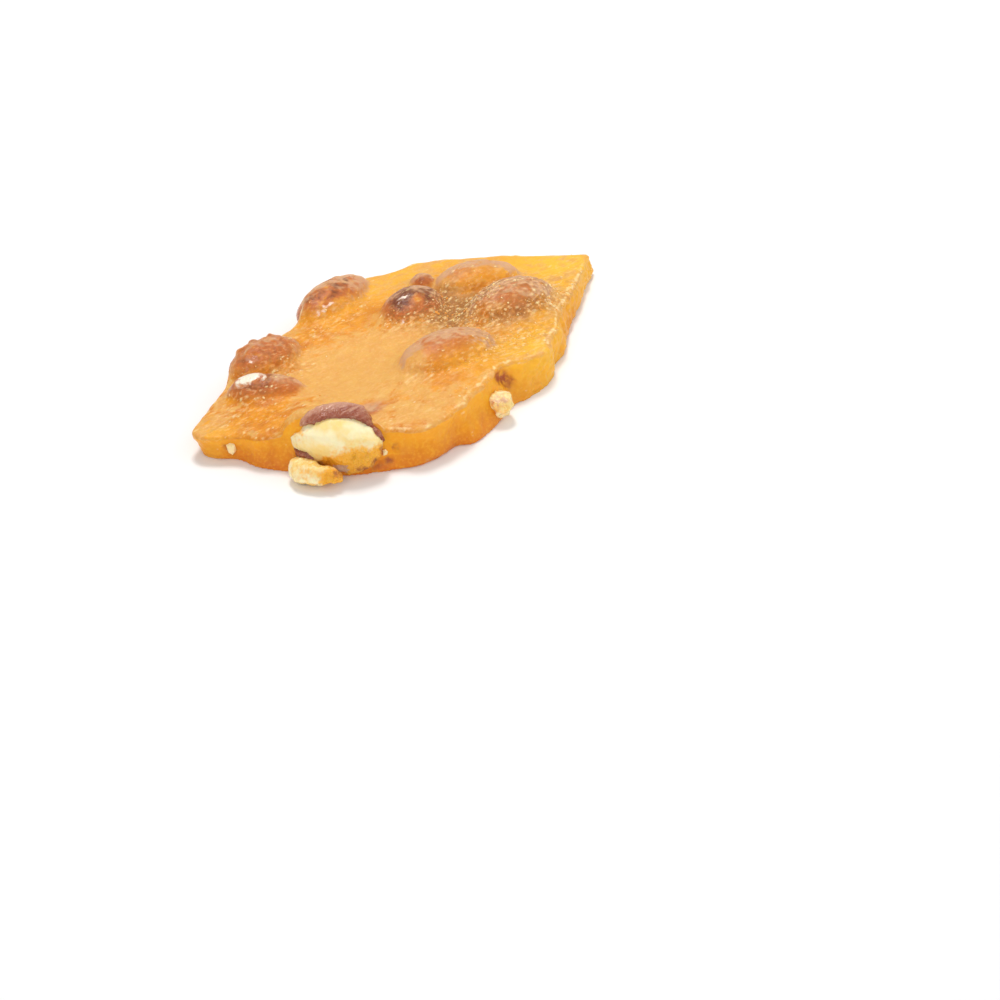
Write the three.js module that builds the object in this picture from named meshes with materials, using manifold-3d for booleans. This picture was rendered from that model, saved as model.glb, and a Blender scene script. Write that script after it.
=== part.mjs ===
// A piece of nut brittle: a broken slab of hard amber candy with roasted peanuts set in it.
// Millimetres, +Z up. The slab lies flat on its underside, long axis along X, and the origin
// is the middle of its bounding box at the underside.

import * as THREE from 'three';
import { mergeVertices } from 'three/addons/utils/BufferGeometryUtils.js';
import Module from 'manifold-3d';

const wasm = await Module();
wasm.setup();

// ---- Driving dimensions ---------------------------------------------------------------------

const GAP = 0.3; // clearance between touching pieces
const EDGE_SAMPLES = 112; // points round the broken edge
const EDGE_STEPS = 7; // rings up the broken edge
const EDGE_TOP = 13; // the edge solid reaches above every mound
const WALL_HEIGHT = 8; // height over which a wall's set-back is given
const SHEET_CELL = 1.8; // grid of the poured upper surface
const SHEET_MARGIN = 3; // the grid reaches past the outline
const FOOT_CHAMFER = 0.35; // softened lower edge
const MOUND_SKIRT = 2.8; // candy drapes this far past a nut
const NUT_PROUD = 0.9; // bare crown of a nut above the candy
const NUT_SIDES = 16; // facets round a nut
const NUT_RINGS = 11; // facets along a nut
const NUT_TAPER = 0.13; // one end of a kernel is slimmer
const FRACTURE = { depth: 0.35, wave: 5.5, rise: 1.9 }; // shallow shell-shaped flaking of the edge

// Broken outline at the underside, anticlockwise from the left tip: [x, y, set-back of the rim].
const OUTLINE = [
  [-48.6, 3.2, -2.6], [-47.7, 0.7, -1.0], [-44.5, -2.5, 0.4], [-43.4, -6.5, 1.7],
  [-40.5, -11.3, 3.2], [-35.8, -17.7, 3.0], [-30.0, -21.9, 3.0], [-25.0, -24.3, 3.0],
  [-20.0, -26.6, 0.8], [-14.5, -26.6, 0.3], [-11.2, -26.2, 0.8], [-8.6, -27.5, 2.6],
  [-4.5, -26.7, 3.4], [0.5, -25.0, 2.8], [5.7, -23.0, 2.8], [9.5, -23.0, 2.3],
  [14.5, -22.1, 1.6], [18.6, -20.1, 1.5], [21.2, -17.6, 1.5], [25.6, -15.9, 2.0],
  [30.2, -11.9, 2.4], [34.6, -8.3, 1.8], [42.5, -2.5, 1.0], [48.2, 1.3, 0.8],
  [50.6, 3.2, 0.6], [49.7, 4.2, 0.6], [44.6, 7.6, 0.6], [34.4, 15.7, 0.6],
  [28.0, 19.7, 0.6], [21.0, 23.4, 0.6], [12.6, 24.9, 0.5], [7.5, 27.0, 0.5],
  [-4.6, 26.7, 0.6], [-9.3, 24.9, 0.8], [-11.6, 22.2, 0.6], [-16.5, 20.7, 0.5],
  [-25.5, 18.9, 0.8], [-31.0, 17.5, 1.0], [-35.0, 14.5, 0.9], [-45.0, 7.2, 0.2],
];

// Candy thickness between the nuts: a base with broad swells and one shallow basin.
const BASE_THICKNESS = 4.4;
const SWELLS = [
  { at: [-6.0, -22.7], reach: [30, 16], rise: 3.4 }, // thick front edge
  { at: [-33.0, -8.7], reach: [11, 10], rise: 1.9 }, // left front shoulder
  { at: [6.0, 5.3], reach: [28, 20], rise: 1.6 }, // crowded middle
  { at: [-17.0, 2.3], reach: [11, 9], rise: -0.7 }, // smooth basin
];

// A peanut kernel: its name, middle in plan, height of its crown, [length, width, height],
// heading of its long axis in degrees from +X, and whether bare flesh or brown skin shows.
const kernel = (name, at, crown, size, heading, surface = 'skin') => (
  { name, at, crown, size, heading, surface });

const NUTS = [
  kernel('nut_edge_large', [-31.9, -15.6], 11.8, [19.6, 10.4, 10.8], -52, 'flesh'),
  kernel('nut_edge_small', [-37.4, -17.5], 5.6, [12.0, 7.4, 5.4], -62, 'flesh'),
  kernel('nut_edge_right', [1.2, -22.5], 8.6, [7.6, 6.0, 7.6], 70, 'flesh'),
  kernel('nut_left_back', [-25.8, 13.5], 10.0, [16.8, 9.6, 8.6], 8),
  kernel('nut_left_front', [-32.0, 5.3], 9.0, [14.6, 7.4, 7.6], -30),
  kernel('nut_back_left', [-2.2, 22.4], 9.7, [19.0, 9.4, 8.4], 13),
  kernel('nut_dark', [6.6, 8.2], 10.8, [14.0, 10.4, 9.4], 12),
  kernel('nut_dark_tip', [14.7, 14.9], 8.4, [5.4, 4.8, 4.6], 40),
  kernel('nut_back', [23.6, 8.5], 9.4, [17.2, 9.2, 8.0], -18),
  kernel('nut_back_right', [22.2, -3.2], 10.8, [19.4, 10.6, 9.4], 2),
  kernel('nut_centre', [-0.2, -10.3], 11.4, [20.0, 11.4, 10.0], -4),
];

const FINISHES = {
  candy: { color: 0xe9a345, roughness: 0.38, metalness: 0 },
  skin: { color: 0x9c5a35, roughness: 0.5, metalness: 0 },
  flesh: { color: 0xf5dda4, roughness: 0.6, metalness: 0 },
};

// ---- Solids ---------------------------------------------------------------------------------

// Turns a closed geometry into a solid that can be joined and cut.
function toSolid(geometry) {
  const plain = geometry.clone();
  plain.deleteAttribute('normal');
  plain.deleteAttribute('uv');
  const merged = mergeVertices(plain, 1e-4);
  return new wasm.Manifold(new wasm.Mesh({
    numProp: 3,
    vertProperties: new Float32Array(merged.attributes.position.array),
    triVerts: new Uint32Array(merged.index.array),
  }));
}

// Turns a solid back into a geometry with flat facets.
function toGeometry(solid) {
  const mesh = solid.getMesh();
  const geometry = new THREE.BufferGeometry();
  geometry.setAttribute('position', new THREE.BufferAttribute(new Float32Array(mesh.vertProperties), 3));
  geometry.setIndex(new THREE.BufferAttribute(new Uint32Array(mesh.triVerts), 1));
  geometry.computeVertexNormals();
  return geometry;
}

// Keeps the largest body of a cut solid, so that no loose scrap is left beside it.
function largestBody(solid) {
  return solid.decompose().reduce((best, body) => (body.volume() > best.volume() ? body : best));
}

// Moves every vertex of a geometry by a function of its position.
function reshape(geometry, move) {
  const position = geometry.attributes.position;
  const point = new THREE.Vector3();
  for (let i = 0; i < position.count; i += 1) {
    point.fromBufferAttribute(position, i);
    move(point);
    position.setXYZ(i, point.x, point.y, point.z);
  }
  return geometry;
}

// ---- Upper surface --------------------------------------------------------------------------

// Bell that is 1 at its middle and falls smoothly to 0 at distance 1.
const bell = (distance) => (distance < 1 ? (1 - distance ** 2) ** 2 : 0);

// Larger of two heights, rounded where they are within `blend` of each other.
function smoothMax(a, b, blend) {
  const overlap = Math.max(blend - Math.abs(a - b), 0) / blend;
  return Math.max(a, b) + overlap ** 2 * blend / 4;
}

// Distance from a nut's middle in plan, where 1 is the foot of its candy skirt.
function moundDistance(nut, x, y) {
  const turn = THREE.MathUtils.degToRad(nut.heading);
  const dx = x - nut.at[0];
  const dy = y - nut.at[1];
  const along = dx * Math.cos(turn) + dy * Math.sin(turn);
  const across = dy * Math.cos(turn) - dx * Math.sin(turn);
  return Math.hypot(along / (nut.size[0] / 2 + MOUND_SKIRT), across / (nut.size[1] / 2 + MOUND_SKIRT));
}

// Thickness of the poured candy away from the nuts.
function baseThickness(x, y) {
  return SWELLS.reduce((sum, { at, reach, rise }) => (
    sum + rise * Math.exp(-(((x - at[0]) / reach[0]) ** 2) - ((y - at[1]) / reach[1]) ** 2)
  ), BASE_THICKNESS);
}

// Height of the candy's upper surface, which drapes over the nuts.
function candyHeight(x, y) {
  const base = baseThickness(x, y);
  const rise = NUTS.reduce((highest, nut) => {
    const mound = (nut.crown - NUT_PROUD - base) * bell(moundDistance(nut, x, y));
    return smoothMax(highest, Math.max(mound, 0), 1);
  }, -1);
  return base + Math.max(rise, 0);
}

// ---- Broken edge ----------------------------------------------------------------------------

// Points of the outline with their outward directions and set-backs.
function sampleOutline() {
  const curve = new THREE.CatmullRomCurve3(
    OUTLINE.map(([x, y, setBack]) => new THREE.Vector3(x, y, setBack)), true, 'centripetal');
  const points = curve.getSpacedPoints(EDGE_SAMPLES).slice(0, EDGE_SAMPLES);
  return points.map((point, i) => {
    const before = points.at(i - 1);
    const after = points[(i + 1) % EDGE_SAMPLES];
    const along = new THREE.Vector2(after.x - before.x, after.y - before.y).normalize();
    return { x: point.x, y: point.y, setBack: point.z, outX: along.y, outY: -along.x, index: i };
  });
}

// How far the edge stands out from the outline at a height: it leans back, is softened at the
// foot, and carries shallow shell-shaped flakes.
function edgeOffset({ setBack, index }, z) {
  const lean = -setBack * z / WALL_HEIGHT;
  const foot = -FOOT_CHAMFER * Math.max(1 - z, 0);
  const flake = FRACTURE.depth * Math.sin(index / FRACTURE.wave * 2 + z / FRACTURE.rise)
    * Math.sin(index / FRACTURE.wave - z / FRACTURE.rise);
  return lean + foot + flake;
}

// The prism inside the broken edge, taller than the slab.
function edgeSolid() {
  const outline = sampleOutline();
  const shape = new THREE.Shape(outline.map(({ x, y }) => new THREE.Vector2(x, y)));
  const prism = new THREE.ExtrudeGeometry(shape, { depth: EDGE_TOP, steps: EDGE_STEPS, bevelEnabled: false });
  const key = ({ x, y }) => `${x.toFixed(3)},${y.toFixed(3)}`;
  const stations = new Map(outline.map((station) => [key(station), station]));
  reshape(prism, (point) => {
    const station = stations.get(key(point));
    const offset = edgeOffset(station, point.z);
    point.x += station.outX * offset;
    point.y += station.outY * offset;
  });
  return toSolid(prism);
}

// The poured sheet: a box whose upper face is a grid lifted to the candy's height.
function sheetSolid() {
  const length = 2 * (Math.max(...OUTLINE.map(([x]) => x)) + SHEET_MARGIN);
  const width = 2 * (Math.max(...OUTLINE.map(([, y]) => y)) + SHEET_MARGIN);
  const box = new THREE.BoxGeometry(
    length, width, 2, Math.round(length / SHEET_CELL), Math.round(width / SHEET_CELL), 1);
  reshape(box, (point) => {
    point.z = point.z > 0 ? candyHeight(point.x, point.y) : -1;
  });
  return toSolid(box);
}

// ---- Nuts -----------------------------------------------------------------------------------

// A peanut kernel in its place: an ovoid with one slimmer end, grown all round by `extra`.
function nutSolid(nut, extra) {
  const [length, width, height] = nut.size.map((size) => size / 2 + extra);
  const ball = new THREE.SphereGeometry(1, NUT_SIDES, NUT_RINGS);
  ball.rotateZ(Math.PI / 2);
  reshape(ball, (point) => {
    const slim = 1 - NUT_TAPER * point.x;
    point.set(point.x * length, point.y * width * slim, point.z * height * slim);
  });
  ball.rotateZ(THREE.MathUtils.degToRad(nut.heading));
  ball.translate(nut.at[0], nut.at[1], nut.crown - nut.size[2] / 2);
  return toSolid(ball);
}

// All nuts, each cut clear of the ones placed before it.
function nutSolids() {
  const placed = [];
  for (const nut of NUTS) {
    const body = placed.reduce((rest, other) => rest.subtract(other.socket), nutSolid(nut, 0));
    placed.push({ nut, body: largestBody(body), socket: nutSolid(nut, GAP) });
  }
  return placed;
}

// ---- The piece ------------------------------------------------------------------------------

function addPiece(group, name, solid, finish) {
  const mesh = new THREE.Mesh(toGeometry(solid), new THREE.MeshStandardMaterial(finish));
  mesh.name = name;
  group.add(mesh);
}

function build() {
  const group = new THREE.Group();
  const nuts = nutSolids();
  const slab = nuts.reduce((rest, { socket }) => rest.subtract(socket), edgeSolid().intersect(sheetSolid()));
  addPiece(group, 'candy_slab', largestBody(slab), FINISHES.candy);
  for (const { nut, body } of nuts) {
    addPiece(group, nut.name, body, FINISHES[nut.surface]);
  }
  return group;
}

const group = build();
export default group;
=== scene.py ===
"""A piece of nut brittle: aerated amber candy, broken from a sheet, with roasted peanuts set in it.

Sizes are in millimetres and are turned into metres when a mesh is written. The candy is cut as a
thick blank from its broken outline, pressed down to the poured surface, and then flaked, pitted and
dusted. Each kernel is shaped on its own and set in the candy.
"""

from __future__ import annotations

import logging
import math
from dataclasses import dataclass, field
from enum import Enum

import bpy
import numpy as np
from mathutils import Matrix, Vector, noise

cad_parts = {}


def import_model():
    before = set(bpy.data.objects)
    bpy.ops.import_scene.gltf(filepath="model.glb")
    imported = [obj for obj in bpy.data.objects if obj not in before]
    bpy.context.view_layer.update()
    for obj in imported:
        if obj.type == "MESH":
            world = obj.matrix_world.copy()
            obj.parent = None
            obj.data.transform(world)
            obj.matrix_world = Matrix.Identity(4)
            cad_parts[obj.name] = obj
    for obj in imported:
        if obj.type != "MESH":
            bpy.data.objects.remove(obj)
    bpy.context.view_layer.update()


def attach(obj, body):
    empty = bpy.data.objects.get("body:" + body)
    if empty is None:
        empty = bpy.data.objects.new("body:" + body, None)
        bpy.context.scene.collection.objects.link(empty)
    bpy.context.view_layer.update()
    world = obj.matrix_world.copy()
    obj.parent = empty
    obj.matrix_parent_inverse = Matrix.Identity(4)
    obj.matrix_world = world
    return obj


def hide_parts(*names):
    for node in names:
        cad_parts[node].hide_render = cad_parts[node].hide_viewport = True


LOG = logging.getLogger("nut_brittle")
MM = 0.001

Array = np.ndarray
Pair = tuple[float, float]
Triple = tuple[float, float, float]
Row = tuple[float, ...]
Colour = tuple[float, float, float, float]
Piece = bpy.types.Object
Material = bpy.types.Material
Socket = bpy.types.NodeSocket

GRAIN_TURN = -38.0  # heading of the grit and ripples on the candy, in degrees from +X
FILM_TURN = -36.0  # heading of the streaks in its sugar film


class Slot(Enum):
    """Material slots of the part's record."""

    CANDY = "candy"
    SKIN = "nut_skin"
    FLESH = "nut_flesh"


def colour(red: int, green: int, blue: int) -> Colour:
    """Turn a screen colour into the linear colour that a shader takes.

    Args:
        red: Red, from 0 to 255.
        green: Green, likewise.
        blue: Blue, likewise.

    Returns:
        Linear red, green, blue and full alpha.
    """
    channels = [value / 255 for value in (red, green, blue)]
    linear = [c / 12.92 if c <= 0.04045 else ((c + 0.055) / 1.055) ** 2.4 for c in channels]
    return (linear[0], linear[1], linear[2], 1.0)


def smooth_step(value: Array, low: float, high: float) -> Array:
    """Return 0 below low, 1 above high and a smooth ramp between."""
    t = np.clip((value - low) / (high - low), 0.0, 1.0)
    return t * t * (3.0 - 2.0 * t)


def smooth_max(a: Array, b: Array, blend: float) -> Array:
    """Return the larger of two heights, rounded where they are within blend of each other."""
    overlap = np.maximum(blend - np.abs(a - b), 0.0) / blend
    return np.maximum(a, b) + overlap**2 * blend / 4.0


def bell(distance: Array) -> Array:
    """Return 1 at distance 0, falling smoothly to 0 at distance 1."""
    return np.where(distance < 1.0, (1.0 - np.minimum(distance, 1.0) ** 2) ** 2, 0.0)


def grain(points: Array, size: float, seed: float = 0.0) -> Array:
    """Return smooth noise between about -1 and 1.

    Args:
        points: Places, one row of three millimetre values each.
        size: Width of a noise feature in millimetres.
        seed: Shift that gives another pattern.

    Returns:
        One value for each row.
    """
    scaled = points / size + np.array([seed, seed * 0.7, seed * 1.3])
    return np.array([noise.noise(Vector(row)) for row in scaled.tolist()])


# ---- Mesh helpers ----


def deselect_all() -> None:
    """Leave nothing selected."""
    for item in bpy.context.selected_objects:
        item.select_set(False)


def activate(piece: Piece) -> None:
    """Make one object the only selected and the active one.

    Args:
        piece: The object.
    """
    deselect_all()
    piece.select_set(True)
    bpy.context.view_layer.objects.active = piece


def named(name: str) -> Piece:
    """Name the active object and its mesh.

    Args:
        name: The name that both get.

    Returns:
        The object.
    """
    piece = bpy.context.object
    piece.name = name
    piece.data.name = name
    return piece


def read_rows(collection: bpy.types.bpy_prop_collection, key: str) -> Array:
    """Read a vector of each item of a mesh's collection.

    Args:
        collection: Vertices or vertex normals.
        key: Name of the vector.

    Returns:
        One row of three values for each item.
    """
    flat = np.empty(len(collection) * 3, np.float32)
    collection.foreach_get(key, flat)
    return flat.reshape(-1, 3).astype(float)


def get_points(piece: Piece) -> Array:
    """Return the vertices of a piece in millimetres, one row each."""
    return read_rows(piece.data.vertices, "co") / MM


def get_normals(piece: Piece) -> Array:
    """Return the vertex normals of a piece, one row each."""
    return read_rows(piece.data.vertex_normals, "vector")


def set_points(piece: Piece, points: Array) -> None:
    """Write the vertices of a piece from millimetres."""
    piece.data.vertices.foreach_set("co", (points * MM).astype(np.float32).ravel())
    piece.data.update()


def set_field(piece: Piece, name: str, values: Array) -> None:
    """Store one number for each vertex, for the finish to read."""
    layer = piece.data.attributes.new(name, "FLOAT", "POINT")
    layer.data.foreach_set("value", values.astype(np.float32))


def set_group(piece: Piece, name: str, values: Array) -> None:
    """Store one weight for each vertex, for a modifier to read.

    Args:
        piece: The object to change.
        name: Name of the vertex group.
        values: Weights from 0 to 1.
    """
    group = piece.vertex_groups.new(name=name)
    for index, value in enumerate(values.tolist()):
        if value > 0.0:
            group.add([index], value, "REPLACE")


def apply_modifier(piece: Piece, kind: str, **settings: object) -> None:
    """Add a modifier to a piece, set it up and apply it.

    Args:
        piece: The object to change.
        kind: Blender's name of the modifier.
        settings: Values of the modifier's own properties.
    """
    activate(piece)
    modifier = piece.modifiers.new(kind.lower(), kind)
    for key, value in settings.items():
        setattr(modifier, key, value)
    bpy.ops.object.modifier_apply(modifier=modifier.name)


def displace(piece: Piece, kind: str, size: float, depth: float, group: str = "",
             direction: str = "NORMAL") -> None:
    """Push a piece's surface in and out by a noise texture.

    Args:
        piece: The object to change.
        kind: Blender's texture type, such as CLOUDS.
        size: Width of a texture feature in millimetres.
        depth: Whole depth of the relief in millimetres.
        group: Vertex group that limits the relief, or an empty name.
        direction: Way the surface moves.
    """
    texture = bpy.data.textures.new(f"{piece.name}_{kind.lower()}", kind)
    texture.noise_scale = size * MM
    apply_modifier(piece, "DISPLACE", texture=texture, strength=depth * MM, mid_level=0.5,
                   texture_coords="LOCAL", vertex_group=group, direction=direction)
    bpy.data.textures.remove(texture)


def shade_smooth(piece: Piece) -> None:
    """Shade a piece smooth all over."""
    activate(piece)
    bpy.ops.object.shade_smooth()


# ---- Finishes ----


class Level:
    """An output of a material's node, which adds, subtracts and multiplies as a number does."""

    def __init__(self, recipe: Recipe, socket: Socket) -> None:
        """Wrap an output socket of one of a recipe's nodes."""
        self.recipe = recipe
        self.socket = socket

    def math(self, operation: str, other: Level | float) -> Level:
        """Return the outcome of one of Blender's math operations with another number."""
        return self.recipe.node("Math", 0, {0: self, 1: other}, operation=operation)

    def __add__(self, other: Level | float) -> Level:
        """Return the sum."""
        return self.math("ADD", other)

    def __sub__(self, other: Level | float) -> Level:
        """Return the difference."""
        return self.math("SUBTRACT", other)

    def __mul__(self, other: Level | float) -> Level:
        """Return the product."""
        return self.math("MULTIPLY", other)

    def at_least(self, other: Level | float) -> Level:
        """Return the larger of the two."""
        return self.math("MAXIMUM", other)

    def at_most(self, other: Level | float) -> Level:
        """Return the smaller of the two."""
        return self.math("MINIMUM", other)

    def ramp(self, low: float, high: float, start: float = 0.0, end: float = 1.0) -> Level:
        """Turn values from low to high smoothly into start to end."""
        limits = {"From Min": low, "From Max": high, "To Min": start, "To Max": end}
        return self.recipe.node("MapRange", "Result", {"Value": self, **limits},
                                interpolation_type="SMOOTHSTEP")


class Recipe:
    """A node material under construction, with short calls for the nodes that the finishes share."""

    def __init__(self, name: str) -> None:
        """Start an empty material with a principled shader on Object coordinates.

        Args:
            name: Name of the material.
        """
        self.material = bpy.data.materials.new(name)
        self.material.use_nodes = True
        self.nodes = self.material.node_tree.nodes
        self.shader = next(n for n in self.nodes if n.type == "BSDF_PRINCIPLED")
        self.place = self.node("TexCoord", "Object", {})

    def node(self, kind: str, output: str | int, inputs: dict[str | int, object],
             **settings: object) -> Level:
        """Add a node and set it up.

        Args:
            kind: Blender's name of the node, without what all the names start with.
            output: Output to return.
            inputs: What each input is linked or set to.
            settings: Values of the node's own properties.

        Returns:
            The output.
        """
        node = self.nodes.new(f"ShaderNode{kind}")
        for key, value in settings.items():
            setattr(node, key, value)
        self.put(node, inputs)
        return Level(self, node.outputs[output])

    def put(self, node: bpy.types.Node, inputs: dict[str | int, object]) -> None:
        """Link or set inputs of a node.

        Args:
            node: The node.
            inputs: What each input is linked or set to.
        """
        for key, value in inputs.items():
            if isinstance(value, Level):
                self.material.node_tree.links.new(value.socket, node.inputs[key])
            else:
                node.inputs[key].default_value = value

    def finish(self, **values: object) -> Material:
        """Set the principled shader's inputs, named with underscores for spaces, and end the recipe."""
        self.put(self.shader, {key.replace("_", " "): value for key, value in values.items()})
        return self.material

    def field(self, name: str) -> Level:
        """Return a number stored on the mesh."""
        return self.node("Attribute", "Fac", {}, attribute_name=name)

    def stretched(self, turn: float, along: float) -> Level:
        """Return coordinates turned about Z, in degrees, and stretched so many times along their X."""
        turned = {"Rotation": (0.0, 0.0, math.radians(-turn)), "Scale": (1.0 / along, 1.0, 1.0)}
        return self.node("Mapping", "Vector", {"Vector": self.place, **turned})

    def clouds(self, size: float, detail: float = 3.0, warp: float = 0.0,
               place: Level | None = None) -> Level:
        """Return soft noise whose features are size millimetres wide."""
        look = {"Scale": 1.0 / (size * MM), "Detail": detail, "Distortion": warp}
        return self.node("TexNoise", "Fac", {"Vector": place or self.place, **look})

    def uneven(self, size: float, share: float, warp: float = 0.0, place: Level | None = None,
               detail: float = 5.0) -> Level:
        """Return noise around 0 that spreads share to each side."""
        return (self.clouds(size, detail, warp, place) - 0.5) * (2.0 * share)

    def cells(self, size: float, output: str, place: Level) -> Level:
        """Return a cell pattern whose cells are size millimetres wide."""
        return self.node("TexVoronoi", output, {"Vector": place, "Scale": 1.0 / (size * MM)})

    def mix(self, share: Level, first: Level | Colour, second: Level | Colour) -> Level:
        """Mix two colours, where share 1 gives the second one."""
        return self.node("Mix", 2, {"Factor": share, 6: first, 7: second}, data_type="RGBA")

    def coats(self, base: Level | Colour, *coats: tuple[Level, Level | Colour]) -> Level:
        """Lay colours over a base, one after another.

        Args:
            base: Colour of the base.
            coats: Share and colour of each coat.

        Returns:
            The colour on top.
        """
        for share, shade in coats:
            base = self.mix(share, base, shade)
        return base

    def bump(self, height: Level, depth: float, under: Level | None = None) -> Level:
        """Return a normal bent by a height, where 1 stands for depth millimetres."""
        inputs = {"Distance": depth * MM, "Height": height}
        return self.node("Bump", "Normal", inputs if under is None else {**inputs, "Normal": under})


@dataclass(frozen=True)
class CandyFinish:
    """Hard amber candy: clear and orange inside, under an uneven pale film of sugar."""

    film: Colour = colour(231, 173, 87)
    film_dusk: Colour = colour(224, 156, 76)
    film_pale: Colour = colour(252, 214, 150)
    clear: Colour = colour(234, 152, 30)
    clear_deep: Colour = colour(214, 126, 24)
    thin: Colour = colour(250, 191, 56)
    broken: Colour = colour(246, 168, 26)
    broken_deep_and_shaded: Colour = colour(216, 118, 18)
    skin_below: Colour = colour(198, 112, 54)
    skin_deep: Colour = colour(120, 62, 40)
    # Painted sheen: pale mauve haze laid where the glaze turns away from the camera.
    crest_below: Colour = colour(214, 162, 118)
    grit_deep: Colour = colour(156, 104, 50)
    dusk_below: Colour = colour(178, 120, 62)
    # Dark brown inside pits and hollows: painted shade, with some brown.
    scorch_and_shade: Colour = colour(176, 92, 46)
    # Pale sugar, also the colour of the painted highlight line on the rim; its specks are partly painted
    # glints.
    pale_sugar_and_highlight: Colour = colour(255, 226, 166)
    # Painted highlight: pinkish white laid where light would catch the glaze.
    painted_highlight: Colour = colour(255, 228, 208)
    glow: Triple = (1.0, 0.55, 0.15)
    glow_depth: float = 1.4
    grain_sizes: Pair = (1.0, 0.6)
    grain_chance: Pair = (0.97, 1.22)
    dullness: Pair = (0.42, 0.56)

    def build(self) -> Material:
        """Lay the kernels' skins with their painted sheen, scorch with painted shade, painted highlights
        and sugar over the poured and broken candy.

        Returns:
            The finished material.
        """
        mat = Recipe("candy_finish")
        rough = mat.field("rough")
        sugar = self.specks(mat, rough)
        wall = (mat.field("wall") + mat.uneven(2.0, 0.35, 0.4)).ramp(0.3, 0.6)
        base = self.skins(mat, mat.mix(wall, self.poured(mat, rough), self.broken_face(mat)), rough)
        # Painted shade in the pits and hollows, with some brown.
        scorched_and_shaded = mat.field("scorch_and_shade") * (mat.uneven(1.2, 1.5, 0.4) + 1.0)
        # Painted highlight: a pale broken line along the rim.
        rim = (mat.field("rim") + mat.uneven(1.6, 1.5, 0.5)).ramp(0.6, 1.5)
        # Painted highlights on the glaze, broken up and streaked along the grain.
        painted_highlight = mat.field("painted_highlight") + mat.uneven(1.0, 1.0, 0.6, mat.stretched(GRAIN_TURN, 2.0))
        base = mat.coats(base, (scorched_and_shaded.ramp(0.1, 1.1), self.scorch_and_shade), (rim * 0.8, self.pale_sugar_and_highlight),
                         (painted_highlight.ramp(0.55, 0.95), self.painted_highlight), (sugar * 0.85, self.pale_sugar_and_highlight))
        return mat.finish(
            Base_Color=base, Roughness=self.gloss(mat, rough), Normal=self.relief(mat, rough, sugar),
            IOR=1.5, Specular_IOR_Level=0.26, Subsurface_Weight=0.3, Subsurface_Radius=self.glow,
            Subsurface_Scale=self.glow_depth * MM)

    def poured(self, mat: Recipe, rough: Level) -> Level:
        """Colour the upper side: clear candy under an uneven film of sugar.

        Args:
            mat: The recipe.
            rough: Where sugar grit lies.

        Returns:
            The colour.
        """
        inside = mat.mix(mat.clouds(4.0, 5.0, 0.6).ramp(0.35, 0.65), self.clear, self.clear_deep)
        inside = mat.mix(mat.field("thin"), inside, self.thin)
        dusk = mat.clouds(2.2, 6.0, 0.6).ramp(0.35, 0.65) * (rough + 0.4)
        film = mat.mix(dusk, self.film, self.film_dusk)
        haze = mat.field("haze") + mat.uneven(3.4, 1.5, 0.8, mat.stretched(FILM_TURN, 1.5))
        streaks = mat.uneven(1.1, 1.8, 0.6, mat.stretched(FILM_TURN, 2.6))
        haze = haze + streaks * (rough + 0.25)
        pale = mat.clouds(0.9, 3.0, 0.4, mat.stretched(FILM_TURN, 2.6)).ramp(0.54, 0.7)
        pale = pale * (rough + 0.12).at_most(0.8)
        fine = mat.clouds(0.5, 3.0).ramp(0.5, 0.72) * 0.2
        dusted = pale.at_least(fine) * haze.ramp(-0.4, 0.5, 0.3, 1.0)
        return mat.coats(inside, (haze.ramp(0.1, 0.9), film), (dusted, self.film_pale))

    def skins(self, mat: Recipe, base: Level, rough: Level) -> Level:
        """Let the kernels' skins show through the candy, and lay sugar grit over them.

        Args:
            mat: The recipe.
            base: Colour of the candy.
            rough: Where the grit lies.

        Returns:
            The colour.
        """
        strength = mat.field("skin")
        dusky = mat.field("dusk") * (mat.uneven(1.6, 1.0, 0.5) + 1.0)
        patch = mat.uneven(3.4, 1.2, 0.8) * mat.field("mottle")
        skin = strength + patch * strength + mat.uneven(0.8, 0.5, 0.8) * strength
        wisps = mat.uneven(1.6, 2.4, 0.6, mat.stretched(-20.0, 2.0))
        # Painted sheen along the kernels' far shoulders, in wisps.
        crest = mat.field("crest") + wisps * mat.field("crest")
        grit = mat.clouds(0.62, 2.0, 0.0, mat.stretched(GRAIN_TURN, 2.0))
        deep = (rough * (strength * 0.8 + 0.25)).at_most(0.85) * grit.ramp(0.54, 0.38)
        return mat.coats(
            base, (dusky.ramp(0.0, 1.1), self.dusk_below), (skin.ramp(0.0, 1.0), self.skin_below),
            (skin.ramp(0.9, 2.0), self.skin_deep), (crest.ramp(0.05, 1.1), self.crest_below),
            (deep, self.grit_deep), (rough * 0.7 * grit.ramp(0.55, 0.68), self.film_pale))

    def broken_face(self, mat: Recipe) -> Level:
        """Colour the broken wall, which deepens downwards: partly deeper amber where it is thick, partly
        painted shade towards the foot.

        Args:
            mat: The recipe.

        Returns:
            The colour.
        """
        depth = mat.field("depth") + mat.uneven(3.5, 0.5, 0.5)
        # Darker towards the foot: partly deeper amber, partly painted shade.
        base = mat.mix(depth.ramp(0.0, 1.1), self.broken, self.broken_deep_and_shaded)
        fine = mat.clouds(0.6, 4.0).ramp(0.45, 0.68)
        return mat.coats(base, (mat.field("thin") * 0.85, self.thin), (fine * 0.3, self.thin))

    def relief(self, mat: Recipe, rough: Level, sugar: Level) -> Level:
        """Bend the normal by ripples, grit and grains.

        Args:
            mat: The recipe.
            rough: Where grit lies.
            sugar: Where grains lie.

        Returns:
            The normal.
        """
        ripples = mat.clouds(1.8, 3.0, 0.5, mat.stretched(GRAIN_TURN, 1.8))
        normal = mat.bump(ripples * (rough.at_least(mat.field("skin") * 0.2) + 0.2), 0.5)
        normal = mat.bump(mat.clouds(0.6, 3.0) * (rough * 1.4 + 0.2), 0.2, normal)
        return mat.bump(sugar, 0.1, normal)

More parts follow.
